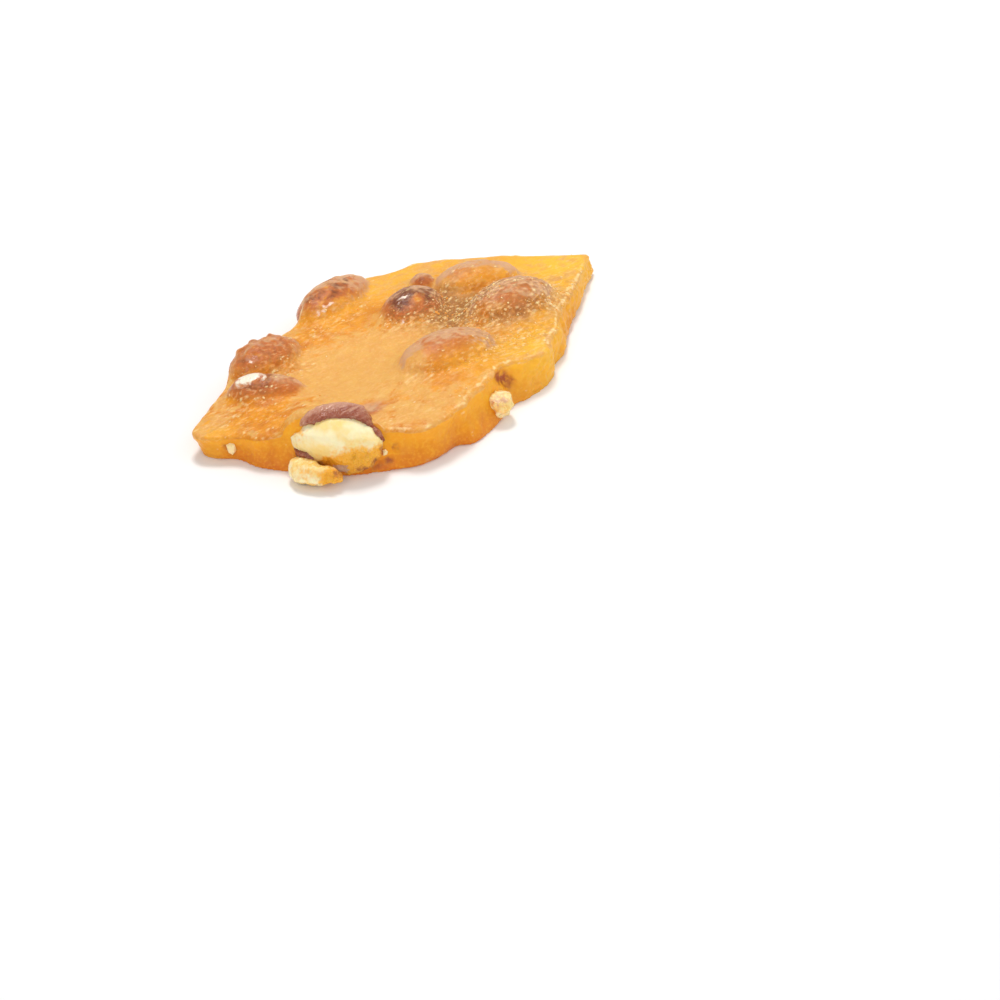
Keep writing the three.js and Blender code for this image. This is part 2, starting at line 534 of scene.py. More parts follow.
    def gloss(self, mat: Recipe, rough: Level) -> Level:
        """Make the candy glassy near the kernels and dull under the film.

        Args:
            mat: The recipe.
            rough: Where grit lies.

        Returns:
            The roughness.
        """
        dull = mat.field("haze") + mat.uneven(2.4, 0.6) - (rough + mat.field("skin")) * 0.3
        shine = mat.field("painted_highlight") * 0.2 + mat.field("wall") * 0.14
        return dull.ramp(-0.3, 0.8, *self.dullness) - shine

    def specks(self, mat: Recipe, rough: Level) -> Level:
        """Scatter small pale sugar grains in clusters, at two sizes; they are partly painted glints,
        streaked along the grain.

        Args:
            mat: The recipe.
            rough: Where more of them lie.

        Returns:
            The share of grain at each place.
        """
        grains = []
        cluster = mat.uneven(4.0, 0.5)
        for size in self.grain_sizes:
            place = mat.stretched(GRAIN_TURN, 2.0)
            near = (mat.cells(size, "Distance", place) + mat.uneven(0.5, 0.3)).ramp(0.1, 0.42, 1.0, 0.0)
            lot = mat.node("SeparateColor", 0, {0: mat.cells(size, "Color", place)})
            grains.append(near * (lot + cluster + rough * 0.45).ramp(*self.grain_chance))
        return grains[0].at_least(grains[1])


@dataclass(frozen=True)
class SkinFinish:
    """Roasted peanut skin: orange-brown with fine long veins, glazed with candy."""

    light: Colour = colour(220, 140, 82)
    dark: Colour = colour(182, 102, 62)
    violet: Colour = colour(148, 68, 38)
    bloom: Colour = colour(206, 150, 122)
    candy: Colour = colour(234, 166, 94)
    flesh: Colour = colour(252, 240, 218)
    glow: Triple = (1.0, 0.4, 0.2)
    glow_depth: float = 0.8

    def build(self) -> Material:
        """Vein the skin, glaze it with candy, and chip it where the flesh shows.

        Returns:
            The finished material.
        """
        mat = Recipe("skin_finish")
        veins = mat.clouds(0.8, 5.0, 1.0, mat.stretched(10.0, 4.0))
        blotch = mat.clouds(2.6, 5.0).ramp(0.3, 0.7)
        glaze = mat.clouds(3.4, 5.0, 0.6).ramp(0.4, 0.7)
        dusty = mat.clouds(0.7, 5.0, 0.8, mat.stretched(GRAIN_TURN, 4.0)) + mat.field("dusty")
        torn = mat.mix(dusty.ramp(0.35, 1.05), self.violet, self.bloom)
        glazed = mat.field("glazed") + (veins - 0.5) * 0.8
        chip = mat.field("chip") + mat.uneven(1.4, 1.0, 0.6, detail=6.0)
        base = mat.mix(veins.ramp(0.3, 0.7), self.dark, self.light)
        base = mat.coats(base, (blotch * 0.4, self.dark), (glaze * 0.5, self.candy),
                         (mat.field("violet"), torn), (glazed.ramp(0.3, 0.9), self.candy),
                         (chip.ramp(0.3, 0.75), self.flesh))
        return mat.finish(
            Base_Color=base, Roughness=blotch.ramp(0.0, 1.0, 0.16, 0.36),
            Normal=mat.bump(mat.clouds(0.5, 5.0), 0.15, mat.bump(veins, 0.25)), IOR=1.5,
            Subsurface_Weight=0.12, Subsurface_Radius=self.glow, Subsurface_Scale=self.glow_depth * MM)


@dataclass(frozen=True)
class FleshFinish:
    """Bare roasted kernel: smooth cream, golden where the roast caught it."""

    cream: Colour = colour(253, 220, 140)
    ivory: Colour = colour(255, 239, 192)
    roast: Colour = colour(255, 180, 48)
    # Dark brown of scorched roast, also painted as shade in holes and crevices.
    scorch_and_shade: Colour = colour(176, 98, 42)
    scar: Colour = colour(232, 190, 156)
    glow: Triple = (1.0, 0.6, 0.3)
    glow_depth: float = 1.2

    def build(self) -> Material:
        """Lay roast, scars, and scorches with painted shade in holes and crevices, over the smooth
        cream.

        Returns:
            The finished material.
        """
        mat = Recipe("flesh_finish")
        small = mat.clouds(0.9, 6.0) - 0.5
        base = mat.mix(mat.clouds(3.2, 4.0).ramp(0.35, 0.65), self.cream, self.ivory)
        for name, shade, spread, low, high in (
            ("roast", self.roast, 1.2, 0.2, 0.9),
            ("scar", self.scar, 0.9, 0.4, 0.6),
            ("scorch_and_shade", self.scorch_and_shade, 0.8, 0.3, 0.9),
        ):
            base = mat.mix((mat.field(name) + small * spread).ramp(low, high), base, shade)
        ragged = mat.field("roast").at_least(mat.field("scar")) + 0.15
        normal = mat.bump(mat.clouds(0.6, 5.0) * ragged, 0.5, mat.bump(mat.clouds(1.6, 5.0), 0.2))
        return mat.finish(
            Base_Color=base, Roughness=0.24, Normal=normal, IOR=1.46, Specular_IOR_Level=0.5,
            Subsurface_Weight=0.25, Subsurface_Radius=self.glow, Subsurface_Scale=self.glow_depth * MM)


@dataclass(frozen=True)
class SugarFinish:
    """Crushed candy, nut and sugar: each grain a little different."""

    pale: Colour = colour(255, 226, 168)
    amber: Colour = colour(238, 158, 54)
    glow: Triple = (1.0, 0.6, 0.3)
    glow_depth: float = 0.4

    def build(self) -> Material:
        """Give each grain its own tone.

        Returns:
            The finished material.
        """
        mat = Recipe("sugar_finish")
        tone = (mat.field("tone") + mat.clouds(0.5, 2.0) * 0.2).ramp(0.1, 1.1)
        return mat.finish(
            Base_Color=mat.mix(tone, self.pale, self.amber), Roughness=0.35, IOR=1.5,
            Subsurface_Weight=0.3, Subsurface_Radius=self.glow, Subsurface_Scale=self.glow_depth * MM)


@dataclass(frozen=True)
class FloorFinish:
    """Matt white card."""

    card: Colour = (0.94, 0.94, 0.94, 1.0)

    def build(self) -> Material:
        """Return the finished material."""
        return Recipe("floor_finish").finish(Base_Color=self.card, Roughness=0.9)


# ---- Shape of the sheet ----


@dataclass(frozen=True)
class Kernel:
    """A peanut in its place.

    Attributes:
        name: CAD node that it stands for.
        at: Middle in plan.
        crown: Height of its top.
        size: Length, width and height.
        heading: Direction of its long axis, in degrees from +X.
        slot: Whether bare flesh or brown skin shows.
        film: Candy over its crown.
        drape: Width over which the candy rounds into the kernel.
        patch: How unevenly the film lies.
        sink: How far the kernel itself ends below its crown.
        skin: How strongly its skin shows through the candy.
        mottle: How blotchy the skin shows.
        crest: Strength of the painted sheen, a hazy band along its far shoulder where the surface turns
            from the camera.
        veil: How far that band reaches over the crown.
        clear: How little sugar film lies on it.
        grit: How much sugar grit lies round it.
        apron: How far the candy banks up on the side that it flowed to.
        skirt: How far the candy banks up on the other side.
        low: Share of the skin's strength that is left on the near side.
        taper: How much slimmer its far end is.
        proud: How far its crown stands out of the banked candy.
        flow: Direction that the candy flowed to.
    """

    name: str
    at: Pair
    crown: float
    size: Triple
    heading: float
    slot: Slot = Slot.SKIN
    film: float = 0.3
    drape: float = 2.5
    patch: float = 0.0
    sink: float = 0.0
    skin: float = 0.0
    mottle: float = 0.5
    crest: float = 0.0
    veil: float = 0.2
    clear: float = 0.5
    grit: float = 0.5
    apron: float = 6.0
    skirt: float = 2.6
    low: float = 0.4
    taper: float = 0.13
    proud: float = 0.9
    flow: Pair = (-0.62, -0.78)

    def local(self, x: Array, y: Array) -> tuple[Array, Array]:
        """Measure from the kernel's middle.

        Args:
            x: Places in plan.
            y: Likewise.

        Returns:
            How far they lie along and across the kernel.
        """
        turn = math.radians(self.heading)
        dx, dy = x - self.at[0], y - self.at[1]
        return dx * math.cos(turn) + dy * math.sin(turn), dy * math.cos(turn) - dx * math.sin(turn)

    def reach(self, x: Array, y: Array, skirt: Array | float = 0.0) -> Array:
        """Return the distance in plan from the middle, where 1 is the rim of a skirt round it."""
        along, across = self.local(x, y)
        return np.hypot(along / (self.size[0] / 2 + skirt), across / (self.size[1] / 2 + skirt))

    def bank(self, x: Array, y: Array) -> Array:
        """Bank the candy up against the kernel, most on the side that it flowed to.

        Args:
            x: Places in plan.
            y: Likewise.

        Returns:
            Share of the bank's height, from 0 far off to 1 in the kernel's middle.
        """
        away = np.hypot(x - self.at[0], y - self.at[1]) + 1.0
        lee = self.facing(x, y, self.flow) * (self.size[0] + self.size[1]) / 4 / away
        skirt = self.skirt + (self.apron - self.skirt) * smooth_step(lee, -0.3, 0.8)
        return bell(self.reach(x, y, skirt))

    def top(self, x: Array, y: Array) -> Array:
        """Shape the kernel's upper surface, which falls steeply outside it.

        Args:
            x: Places in plan.
            y: Likewise.

        Returns:
            Height at each place.
        """
        along, across = self.local(x, y)
        slim = 1.0 - self.taper * np.clip(along / (self.size[0] / 2), -1.0, 1.0)
        out = np.hypot(along / (self.size[0] / 2), across / (self.size[1] / 2 * slim))
        dome = np.where(out < 1.0, np.sqrt(np.maximum(1.0 - out**2, 0.0)), -4.0 * (out - 1.0))
        return self.crown - self.size[2] / 2 + self.size[2] / 2 * slim * dome

    def facing(self, x: Array, y: Array, toward: Pair) -> Array:
        """Return -1 to 1 across the kernel in one direction of the plan."""
        half = (self.size[0] + self.size[1]) / 4
        return ((x - self.at[0]) * toward[0] + (y - self.at[1]) * toward[1]) / half


KERNELS = (
    Kernel("nut_edge_large", (-31.9, -15.6), 11.8, (19.6, 10.4, 10.8), -52, Slot.FLESH, film=0.3,
           drape=2.2, grit=0.2, skirt=3.2),
    Kernel("nut_edge_small", (-37.4, -17.5), 5.6, (12, 7.4, 5.4), -62, Slot.FLESH, film=-1,
           drape=1, grit=0, apron=2.8),
    Kernel("nut_edge_right", (1.2, -22.5), 8.6, (7.6, 6, 7.6), 70, Slot.FLESH, film=-0.6,
           drape=1, sink=2.6, grit=0.5, apron=2.8),
    Kernel("nut_left_back", (-25.8, 13.5), 10, (16.8, 9.6, 8.6), 8, film=0.1, drape=2.6,
           patch=0.4, skin=1.05, mottle=1.1, crest=0.6, veil=0, clear=0.9, grit=0.5, apron=4.5, low=0.8),
    Kernel("nut_left_front", (-32, 5.3), 9, (14.6, 7.4, 7.6), -30, film=0.1, drape=2.4,
           patch=0.2, skin=1.3, mottle=0.6, crest=0.8, veil=0.1, clear=0.9, grit=0.3, apron=5,
           low=0.9),
    Kernel("nut_back_left", (-2.2, 22.4), 9.7, (19, 9.4, 8.4), 13, film=0.2, drape=3,
           patch=0.2, skin=1.35, mottle=1.6, crest=0.95, veil=0.05, clear=0.8, grit=0.4, low=0.7),
    Kernel("nut_dark", (6.6, 8.2), 10.8, (14, 10.4, 9.4), 12, film=0.2, drape=3.4,
           patch=0.1, skin=2.1, mottle=0.7, crest=0.7, veil=-0.1, clear=0.8, grit=1, low=0.8,
           apron=7.5),
    Kernel("nut_dark_tip", (14.7, 14.9), 8.4, (5.4, 4.8, 4.6), 40, film=0.25, drape=2,
           skin=1.4, mottle=0.2, crest=0.7, veil=0.2, clear=0.4, grit=0.2, apron=3.5, low=0.8),
    Kernel("nut_back", (23.6, 8.5), 9.4, (17.2, 9.2, 8), -18, film=0.3, drape=5,
           skin=0.55, mottle=0.8, crest=1.3, veil=0.08, clear=0.3, grit=0.4, apron=8, skirt=5,
           low=0.15),
    Kernel("nut_back_right", (22.2, -3.2), 10.8, (19.4, 10.6, 9.4), 2, film=0.3, drape=5.5,
           skin=0.85, mottle=0.8, crest=1.3, veil=0.25, clear=0.6, grit=0.9, apron=10, skirt=5.5,
           low=0.6),
    Kernel("nut_centre", (-0.2, -10.3), 11.4, (20, 11.4, 10), -4, film=0.3, drape=5.5,
           skin=0.95, mottle=0.6, crest=1.4, veil=0.06, clear=1.2, grit=0.6, apron=10, skirt=5.5,
           low=0.2),
)


@dataclass(frozen=True)
class Swell:
    """A broad rise or dip, or a patch of the finish, with its middle, reach and strength."""

    at: Pair
    reach: Pair
    rise: float

    def value(self, x: Array, y: Array) -> Array:
        """Return its strength at each place."""
        dx, dy = (x - self.at[0]) / self.reach[0], (y - self.at[1]) / self.reach[1]
        return self.rise * np.exp(-(dx**2) - dy**2)


def areas(*rows: Row) -> tuple[Swell, ...]:
    """Return swells from rows of middle in x and y, reach in x and y, and strength."""
    return tuple(Swell((row[0], row[1]), (row[2], row[3]), row[4]) for row in rows)


def total(swells: tuple[Swell, ...], x: Array, y: Array) -> Array:
    """Return the joint strength of swells at each place."""
    return sum(swell.value(x, y) for swell in swells)


@dataclass(frozen=True)
class Dent:
    """A pit in the wall: its middle, radius, depth and how dark it is inside, which is painted shade
    with some brown.
    """

    at: Triple
    radius: float
    depth: float
    scorch_and_shade: float = 0.0

    def share(self, points: Array) -> Array:
        """Return 1 at the point nearest to the middle of the pit, falling to 0 at its rim."""
        middle = points[np.argmin(np.linalg.norm(points - np.array(self.at), axis=1))]
        return bell(np.linalg.norm(points - middle, axis=1) / self.radius)


@dataclass
class PouredSheet:
    """Height of the candy's upper surface, which sags between the kernels and drapes over them.

    Attributes:
        thickness: Thickness far from the swells and the kernels.
        blend: Width over which the banks of two kernels meet.
        patch_size: Size of the patches in the film on the kernels.
        patch_seed: Pattern of those patches.
        swells: Broad rises and dips.
    """

    thickness: float = 4.4
    blend: float = 1.0
    patch_size: float = 1.7
    patch_seed: float = 3.0
    swells: tuple[Swell, ...] = areas(
        (-6, -22.7, 30, 16, 3.4), (-33, -8.7, 11, 10, 1.9), (6, 5.3, 28, 20, 1.6),
        (-17, 2.3, 11, 9, -0.7),
    )

    def base(self, x: Array, y: Array) -> Array:
        """Return the thickness of the sheet away from the kernels."""
        return self.thickness + total(self.swells, x, y)

    def height(self, x: Array, y: Array) -> Array:
        """Bank the candy up round the kernels and lay a film over them.

        Args:
            x: Places in plan.
            y: Likewise.

        Returns:
            Height of the candy at each place.
        """
        base = self.base(x, y)
        rise = np.full_like(x, -1.0)
        for kernel in KERNELS:
            mound = (kernel.crown - kernel.proud - base) * kernel.bank(x, y)
            rise = smooth_max(rise, np.maximum(mound, 0.0), self.blend)
        level = base + np.maximum(rise, 0.0)
        uneven = grain(np.stack([x, y, np.zeros_like(x)], 1), self.patch_size, self.patch_seed)
        for kernel in KERNELS:
            film = kernel.film + kernel.patch * uneven
            level = smooth_max(level, kernel.top(x, y) + film, kernel.drape)
        return level


@dataclass
class BrokenEdge:
    """The broken outline at the underside.

    Attributes:
        corners: Place of each corner and the set-back of the rim there.
        stations: Places along the outline at which the wall is cut.
        lean_height: Height at which the rim has its whole set-back.
        rim_round: Radius of the rim.
        foot_round: How far the foot of the wall draws in.
        flake_depth: Depth of the flakes.
        flakes_round: Length of the outline in the unit of flake_wide.
        flake_wide: Width of a flake along the outline.
        flake_tall: Its height, likewise.
        probe: Depth under the rim at which its place is read.
    """

    corners: tuple[Triple, ...] = (
        (-48.6, 3.2, -2.6), (-47.7, 0.7, -1), (-44.5, -2.5, 0.4), (-43.4, -6.5, 1.7),
        (-40.5, -11.3, 3.2), (-35.8, -17.7, 3), (-30, -21.9, 3), (-25, -24.3, 3),
        (-20, -26.6, 0.8), (-14.5, -26.6, 0.3), (-11.2, -26.2, 0.8), (-8.6, -27.5, 2.6),
        (-4.5, -26.7, 3.4), (0.5, -25, 2.8), (5.7, -23, 2.8), (9.5, -23, 2.3),
        (14.5, -22.1, 1.6), (18.6, -20.1, 1.5), (21.2, -17.6, 1.5), (25.6, -15.9, 2),
        (30.2, -11.9, 2.4), (34.6, -8.3, 1.8), (42.5, -2.5, 1), (48.2, 1.3, 0.8),
        (50.6, 3.2, 0.6), (49.7, 4.2, 0.6), (44.6, 7.6, 0.6), (34.4, 15.7, 0.6),
        (28, 19.7, 0.6), (21, 23.4, 0.6), (12.6, 24.9, 0.5), (7.5, 27, 0.5),
        (-4.6, 26.7, 0.6), (-9.3, 24.9, 0.8), (-11.6, 22.2, 0.6), (-16.5, 20.7, 0.5),
        (-25.5, 18.9, 0.8), (-31, 17.5, 1), (-35, 14.5, 0.9), (-45, 7.2, 0.2),
    )
    stations: int = 280
    lean_height: float = 8.0
    rim_round: float = 0.9
    foot_round: float = 0.35
    flake_depth: float = 0.35
    flakes_round: float = 112.0
    flake_wide: float = 2.75
    flake_tall: float = 1.9
    probe: float = 0.3

    def spline(self, steps: int = 40) -> Array:
        """Draw the closed curve through the corners, with roots of the chords as its steps.

        Args:
            steps: Points from one corner to the next.

        Returns:
            One row of place and set-back for each point.
        """
        corners = np.array(self.corners)
        parts = []
        for i in range(len(corners)):
            p0, p1, p2, p3 = (corners[(i + k) % len(corners)] for k in (-1, 0, 1, 2))
            d0, d1, d2 = (math.sqrt(np.linalg.norm(b - a)) for a, b in ((p0, p1), (p1, p2), (p2, p3)))
            t1 = ((p1 - p0) / d0 - (p2 - p0) / (d0 + d1) + (p2 - p1) / d1) * d1
            t2 = ((p2 - p1) / d1 - (p3 - p1) / (d1 + d2) + (p3 - p2) / d2) * d1
            t = np.linspace(0.0, 1.0, steps, endpoint=False)[:, None]
            parts.append((2 * t**3 - 3 * t**2 + 1) * p1 + (t**3 - 2 * t**2 + t) * t1
                         + (3 * t**2 - 2 * t**3) * p2 + (t**3 - t**2) * t2)
        return np.concatenate(parts)

    def sample(self) -> tuple[Array, Array, Array]:
        """Walk round the outline in even steps.

        Returns:
            Places, their outward directions and their set-backs.
        """
        fine = self.spline()
        closed = np.vstack([fine, fine[:1]])
        run = np.concatenate([[0.0], np.cumsum(np.linalg.norm(np.diff(closed, axis=0), axis=1))])
        wanted = np.linspace(0.0, run[-1], self.stations, endpoint=False)
        points = np.stack([np.interp(wanted, run, closed[:, k]) for k in range(3)], 1)
        along = np.roll(points, -1, 0)[:, :2] - np.roll(points, 1, 0)[:, :2]
        along /= np.linalg.norm(along, axis=1)[:, None]
        return points[:, :2], np.stack([along[:, 1], -along[:, 0]], 1), points[:, 2]

    def offset(self, share: Array, set_back: Array, z: Array, below_rim: Array) -> Array:
        """Return how far the wall stands out from the outline.

        Args:
            share: How far round the outline each place is, from 0 to 1.
            set_back: Lean of the wall there.
            z: Height of each place.
            below_rim: Depth of each place under the rim.

        Returns:
            Outward distances.
        """
        turn = share * self.flakes_round
        wide, tall = turn / self.flake_wide, z / self.flake_tall
        flake = self.flake_depth * np.sin(wide + tall) * np.sin(wide / 2.0 - tall)
        foot = -self.foot_round * np.maximum(1.0 - z, 0.0)
        near = np.clip(1.0 - below_rim / self.rim_round, 0.0, 1.0)
        rim = -self.rim_round * (1.0 - np.sqrt(np.maximum(1.0 - near**2, 0.0)))
        return -set_back * z / self.lean_height + foot + flake + rim

    def rim_points(self, sheet: PouredSheet) -> Array:
        """Find the upper corner of the wall.

        Args:
            sheet: The surface that the wall runs up to.

        Returns:
            One row of x, y and height for each station.
        """
        plan, out, set_back = self.sample()
        rim = plan
        for _ in range(2):
            top = sheet.height(rim[:, 0], rim[:, 1])
            share = np.arange(self.stations) / self.stations
            rim = plan + out * self.offset(share, set_back, top, np.full_like(top, self.probe))[:, None]
        return np.column_stack([rim, top])


# ---- The candy ----


@dataclass
class Candy:
    """The broken slab of candy.

    Attributes:
        sheet: Its upper surface.
        edge: Its broken outline.
        blank: Thickness of the blank before it is pressed.
        rings: Steps up the wall of the blank.
        crowding: How much the steps crowd together at the rim.
        cell: Size of the even mesh.
        evening: Passes that take the steps out of that mesh.
        underside_share: Share of its faces that the flat underside keeps.
        rim_smoothing: Passes that round the rim.
        foot: Height at which the underside ends and the wall has begun.
        steps_above: Height from which the steps of the even mesh are taken out.
        top_from: Share of the height at which the upper side starts and has begun.
        wall_from: Depth under the upper side at which the wall starts and has begun.
        upper_to: Depth at which the upper side's finish has ended and still lies.
        rim_width: Distance from the rim at which its rounding ends and is whole.
        rim_highlight: Distance from the rim at which its painted highlight line ends and is whole.
        rim_highlight_from: Place along X where that painted highlight line starts and has begun.
        lumpy_from: Place along X where the wall's lumps start and have begun.
        deepest: Height over which the wall's colour deepens downwards, partly as painted shade.
        shade: Direction in plan that the hazy sides of the kernels face.
        front: Direction that their clear sides face, toward the camera; the painted sheen lies where the
            surface turns away from it.
        film: Sugar film away from the patches below.
        roughness: Sugar grit away from them.
        reliefs: Layers of relief: pattern, feature size, depth, where it lies and its direction.
        dents: Pits and hollows in the wall, and bumps where the depth is below 0.
        thinned: Where the candy is thin and bright.
        bare: Where no skin shows through it.
        stained: Where skin shows beside the kernels.
        dusky: Where dark syrup and grit lie.
        painted_sheen_spots: Where painted sheen lies beside the kernels, as a mauve haze.
        painted_highlights: Where highlights are painted on the glaze.
        calm: Where the surface is smooth.
        hazy: Where more or less sugar film lies.
        gritty: Where more sugar grit lies.
    """

    sheet: PouredSheet
    edge: BrokenEdge
    blank: float = 12.0
    rings: int = 16
    crowding: float = 0.1
    cell: float = 0.31
    evening: int = 5
    underside_share: float = 0.04
    rim_smoothing: int = 20
    foot: Pair = (0.05, 0.4)
    steps_above: Pair = (0.2, 0.8)
    top_from: Pair = (0.9, 0.99)
    wall_from: Pair = (0.15, 0.5)
    upper_to: Pair = (1.6, 0.6)
    rim_width: Pair = (2.2, 0.5)
    rim_highlight: Pair = (0.8, 0.15)
    rim_highlight_from: Pair = (-40.0, -26.0)
    lumpy_from: Pair = (2.0, 14.0)
    deepest: float = 8.0
    shade: Pair = (-0.11, 0.99)
    front: Triple = (-0.53, -0.651, 0.544)
    film: float = 0.62
    roughness: float = 0.2
    reliefs: tuple[tuple[str, float, float, str, str], ...] = (
        ("VORONOI", 5.0, 0.7, "wall", "NORMAL"), ("CLOUDS", 2.6, 1.0, "lumpy", "NORMAL"),
        ("CLOUDS", 1.3, 0.35, "wall", "NORMAL"), ("CLOUDS", 7.0, 0.45, "face", "Z"),
        ("CLOUDS", 2.2, 0.4, "face", "NORMAL"), ("CLOUDS", 0.9, 0.5, "grit", "NORMAL"),
    )
    dents: tuple[Dent, ...] = (
        Dent((-23.8, -23.1, 4.3), 1.2, 0.4, 0.75), Dent((-25.4, -23.1, 2.3), 1.4, 0.5, 0.95),
        Dent((-26.8, -22.6, 1.6), 1.6, 0.4, 0.55), Dent((-28.2, -22.4, 1), 1.5, 0.4, 0.5),
        Dent((3.4, -20.4, 7), 2.4, 0.5, 0.6), Dent((4.6, -20.4, 5.8), 2.6, 0.9, 0.6),
        Dent((5.4, -20.8, 5), 2.6, 0.5, 0.5), Dent((6.2, -21.4, 4), 2.4, 0.5, 0.5),
        Dent((2.4, -21, 6.2), 2.2, 0.3, 0.4), Dent((-45.4, -0.4, 3.2), 1.3, 0.25, 0.75),
        Dent((-44.9, -1.3, 1.5), 1.5, 0.2, 0.5), Dent((-25.9, 17.4, 8.4), 1.5, -0.7, 0.5),
        Dent((-22.3, 16.9, 8.8), 1.3, -0.8, 0.3), Dent((-29.4, 15.6, 8), 1.3, -0.5, 0.4),
    )
    thinned: tuple[Swell, ...] = areas(
        (42, 4, 16, 14, 1), (18, -19, 16, 8, 0.9), (14, 21, 26, 7, 0.7), (-47, 2, 4, 4, 0.5),
    )
    bare: tuple[Swell, ...] = areas(
        (-12.3, 16.8, 3, 2.4, 1), (-3, 17.2, 6, 1.6, 0.5), (5.6, 5.6, 1.5, 1, 0.9),
        (-33, 1.8, 5, 1.6, 0.4), (-9.6, -10.4, 3.4, 4.6, 0.8),
    )
    stained: tuple[Swell, ...] = areas(
        (-23, -14.8, 3.4, 1.5, 1.3), (-33.6, 3, 3, 1.6, 0.25), (20, -8.6, 6, 2.4, 0.35),
    )
    dusky: tuple[Swell, ...] = areas(
        (10, 2, 6.5, 4, 1), (6, -3, 5, 2.4, 0.6), (16, 1.6, 5.5, 3.4, 0.9),
        (20, -8.6, 7, 3, 0.7), (12, 8, 4, 4, 1.2), (24, -3, 8, 5, 0.5),
    )
    painted_sheen_spots: tuple[Swell, ...] = areas(
        (-22.4, -14.2, 4, 1.6, 0.7), (-29.4, 3.8, 2.6, 1.6, 0.8), (-20.4, -15.2, 1.8, 0.9, 0.35),
        (-24.6, -13.4, 2.2, 1.6, 0.5),
    )
    # Places of the painted highlights on the glaze.
    painted_highlights: tuple[Swell, ...] = areas(
        (3.4, 7.6, 2, 0.8, 0.85), (-30.9, 11.1, 0.5, 0.7, 1), (-7.6, 18.1, 1, 0.6, 0.9),
        (-5.6, 18.1, 1, 0.6, 0.9), (-9.2, 18.4, 0.7, 0.5, 0.8), (0.75, 4.2, 0.6, 0.5, 0.9),
        (20, -2.2, 2.2, 0.8, 0.45), (22.6, 6.6, 1.8, 0.7, 0.4),
    )
    calm: tuple[Swell, ...] = areas(
        (-14, -1, 15, 11, 1), (36, 11, 14, 7, 0.9), (12, 22, 12, 4, 0.9),
    )
    hazy: tuple[Swell, ...] = areas(
        (-15, -1, 15, 11, 1), (-39, -2, 9, 7, -1.5), (-45, 3, 4, 2.5, 0.9),
        (-42.3, -4.2, 0.8, 1.6, 1.8), (-36, -9.5, 3, 4, 0.8), (14, -14, 10, 4, -0.35),
        (0, -15.6, 9, 3.6, -1), (-9.6, -10.4, 3, 4.6, 1), (-2.5, 15, 6.5, 3, -1),
        (-14, 14.6, 4.5, 3, -0.8), (-7.1, 12.5, 4, 2, -0.4), (-16, -18, 6, 4, 0.3),
        (36, 10, 14, 9, -0.5),
    )
    gritty: tuple[Swell, ...] = areas(
        (9, 1, 7, 4, 0.9), (8, -4.4, 6, 3, 0.6), (17, 1, 6, 5, 0.7), (14, -14, 10, 4, 0.6),
        (-38, 0, 9, 8, 0.4), (-24, 8, 6, 3, 0.7), (-10, 15, 9, 2.6, 0.5), (32, -4, 8, 7, 0.6),
    )
    gap: Array | None = None
    piece: Piece | None = None
    scorched_and_shaded: Array | None = None

    def build(self) -> Piece:
        """Cut, press, flake and finish the slab.

        Returns:
            The finished slab.
        """
        self.piece = self.cut_blank()
        apply_modifier(self.piece, "REMESH", mode="VOXEL", voxel_size=self.cell * MM)
        self.even_out()
        self.thin_underside()
        self.press()
        self.flake()
        shade_smooth(self.piece)
        self.store_fields()
        self.piece.data.materials.clear()
        self.piece.data.materials.append(CandyFinish().build())
        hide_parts("candy_slab")
        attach(self.piece, "root")
        return self.piece

    def cut_blank(self) -> Piece:
        """Extrude the outline and lean and round its wall.

        Returns:
            A closed block, taller than the candy.
        """
        plan, out, set_back = self.edge.sample()
        count = len(plan)
        deselect_all()
        bpy.ops.mesh.primitive_circle_add(vertices=count, radius=1.0, fill_type="NGON")
        piece = named("candy")
        set_points(piece, np.column_stack([plan, np.zeros(count)]))
        bpy.ops.object.mode_set(mode="EDIT")
        bpy.ops.mesh.select_all(action="SELECT")
        step = self.blank / self.rings
        for _ in range(self.rings):
            bpy.ops.mesh.extrude_region_move(TRANSFORM_OT_translate={"value": (0, 0, step * MM)})
        bpy.ops.mesh.select_all(action="SELECT")
        bpy.ops.mesh.normals_make_consistent(inside=False)
        bpy.ops.object.mode_set(mode="OBJECT")
        points = get_points(piece)
        nearest = np.argmin(np.abs(points[:, None, 0] - plan[None, :, 0])
                            + np.abs(points[:, None, 1] - plan[None, :, 1]), axis=1)
        top = self.sheet.height(plan[:, 0], plan[:, 1])[nearest]
        share = np.clip(points[:, 2] / self.blank, 0.0, 1.0)
        share = share + self.crowding * np.sin(math.pi * share) * share
        z = share * top
        away = self.edge.offset(nearest / count, set_back[nearest], z, top - z)
        points[:, :2] += out[nearest] * away[:, None]
        points[:, 2] = share * self.blank
        set_points(piece, points)
        return piece

    def even_out(self) -> None:
        """Take the steps of the even mesh out of everything above the underside."""
        set_group(self.piece, "above", smooth_step(get_points(self.piece)[:, 2], *self.steps_above))
        self.smooth("above", self.evening)

    def smooth(self, group: str, passes: int) -> None:
        """Smooth the part of the mesh that a vertex group names, and drop all the groups."""
        apply_modifier(self.piece, "SMOOTH", factor=0.5, iterations=passes, vertex_group=group)
        self.piece.vertex_groups.clear()

    def thin_underside(self) -> None:
        """Leave few faces on the flat underside, which needs none."""
        mesh = self.piece.data
        low = get_points(self.piece)[:, 2] < self.foot[0]
        corners = np.empty(len(mesh.loops), np.int32)
        mesh.loops.foreach_get("vertex_index", corners)
        activate(self.piece)
        bpy.ops.object.mode_set(mode="EDIT")
        bpy.ops.mesh.select_mode(type="FACE")
        bpy.ops.mesh.select_all(action="DESELECT")
        bpy.ops.object.mode_set(mode="OBJECT")
        mesh.polygons.foreach_set("select", low[corners].reshape(-1, 4).all(axis=1))
        bpy.ops.object.mode_set(mode="EDIT")
        bpy.ops.mesh.decimate(ratio=self.underside_share)
        bpy.ops.object.mode_set(mode="OBJECT")

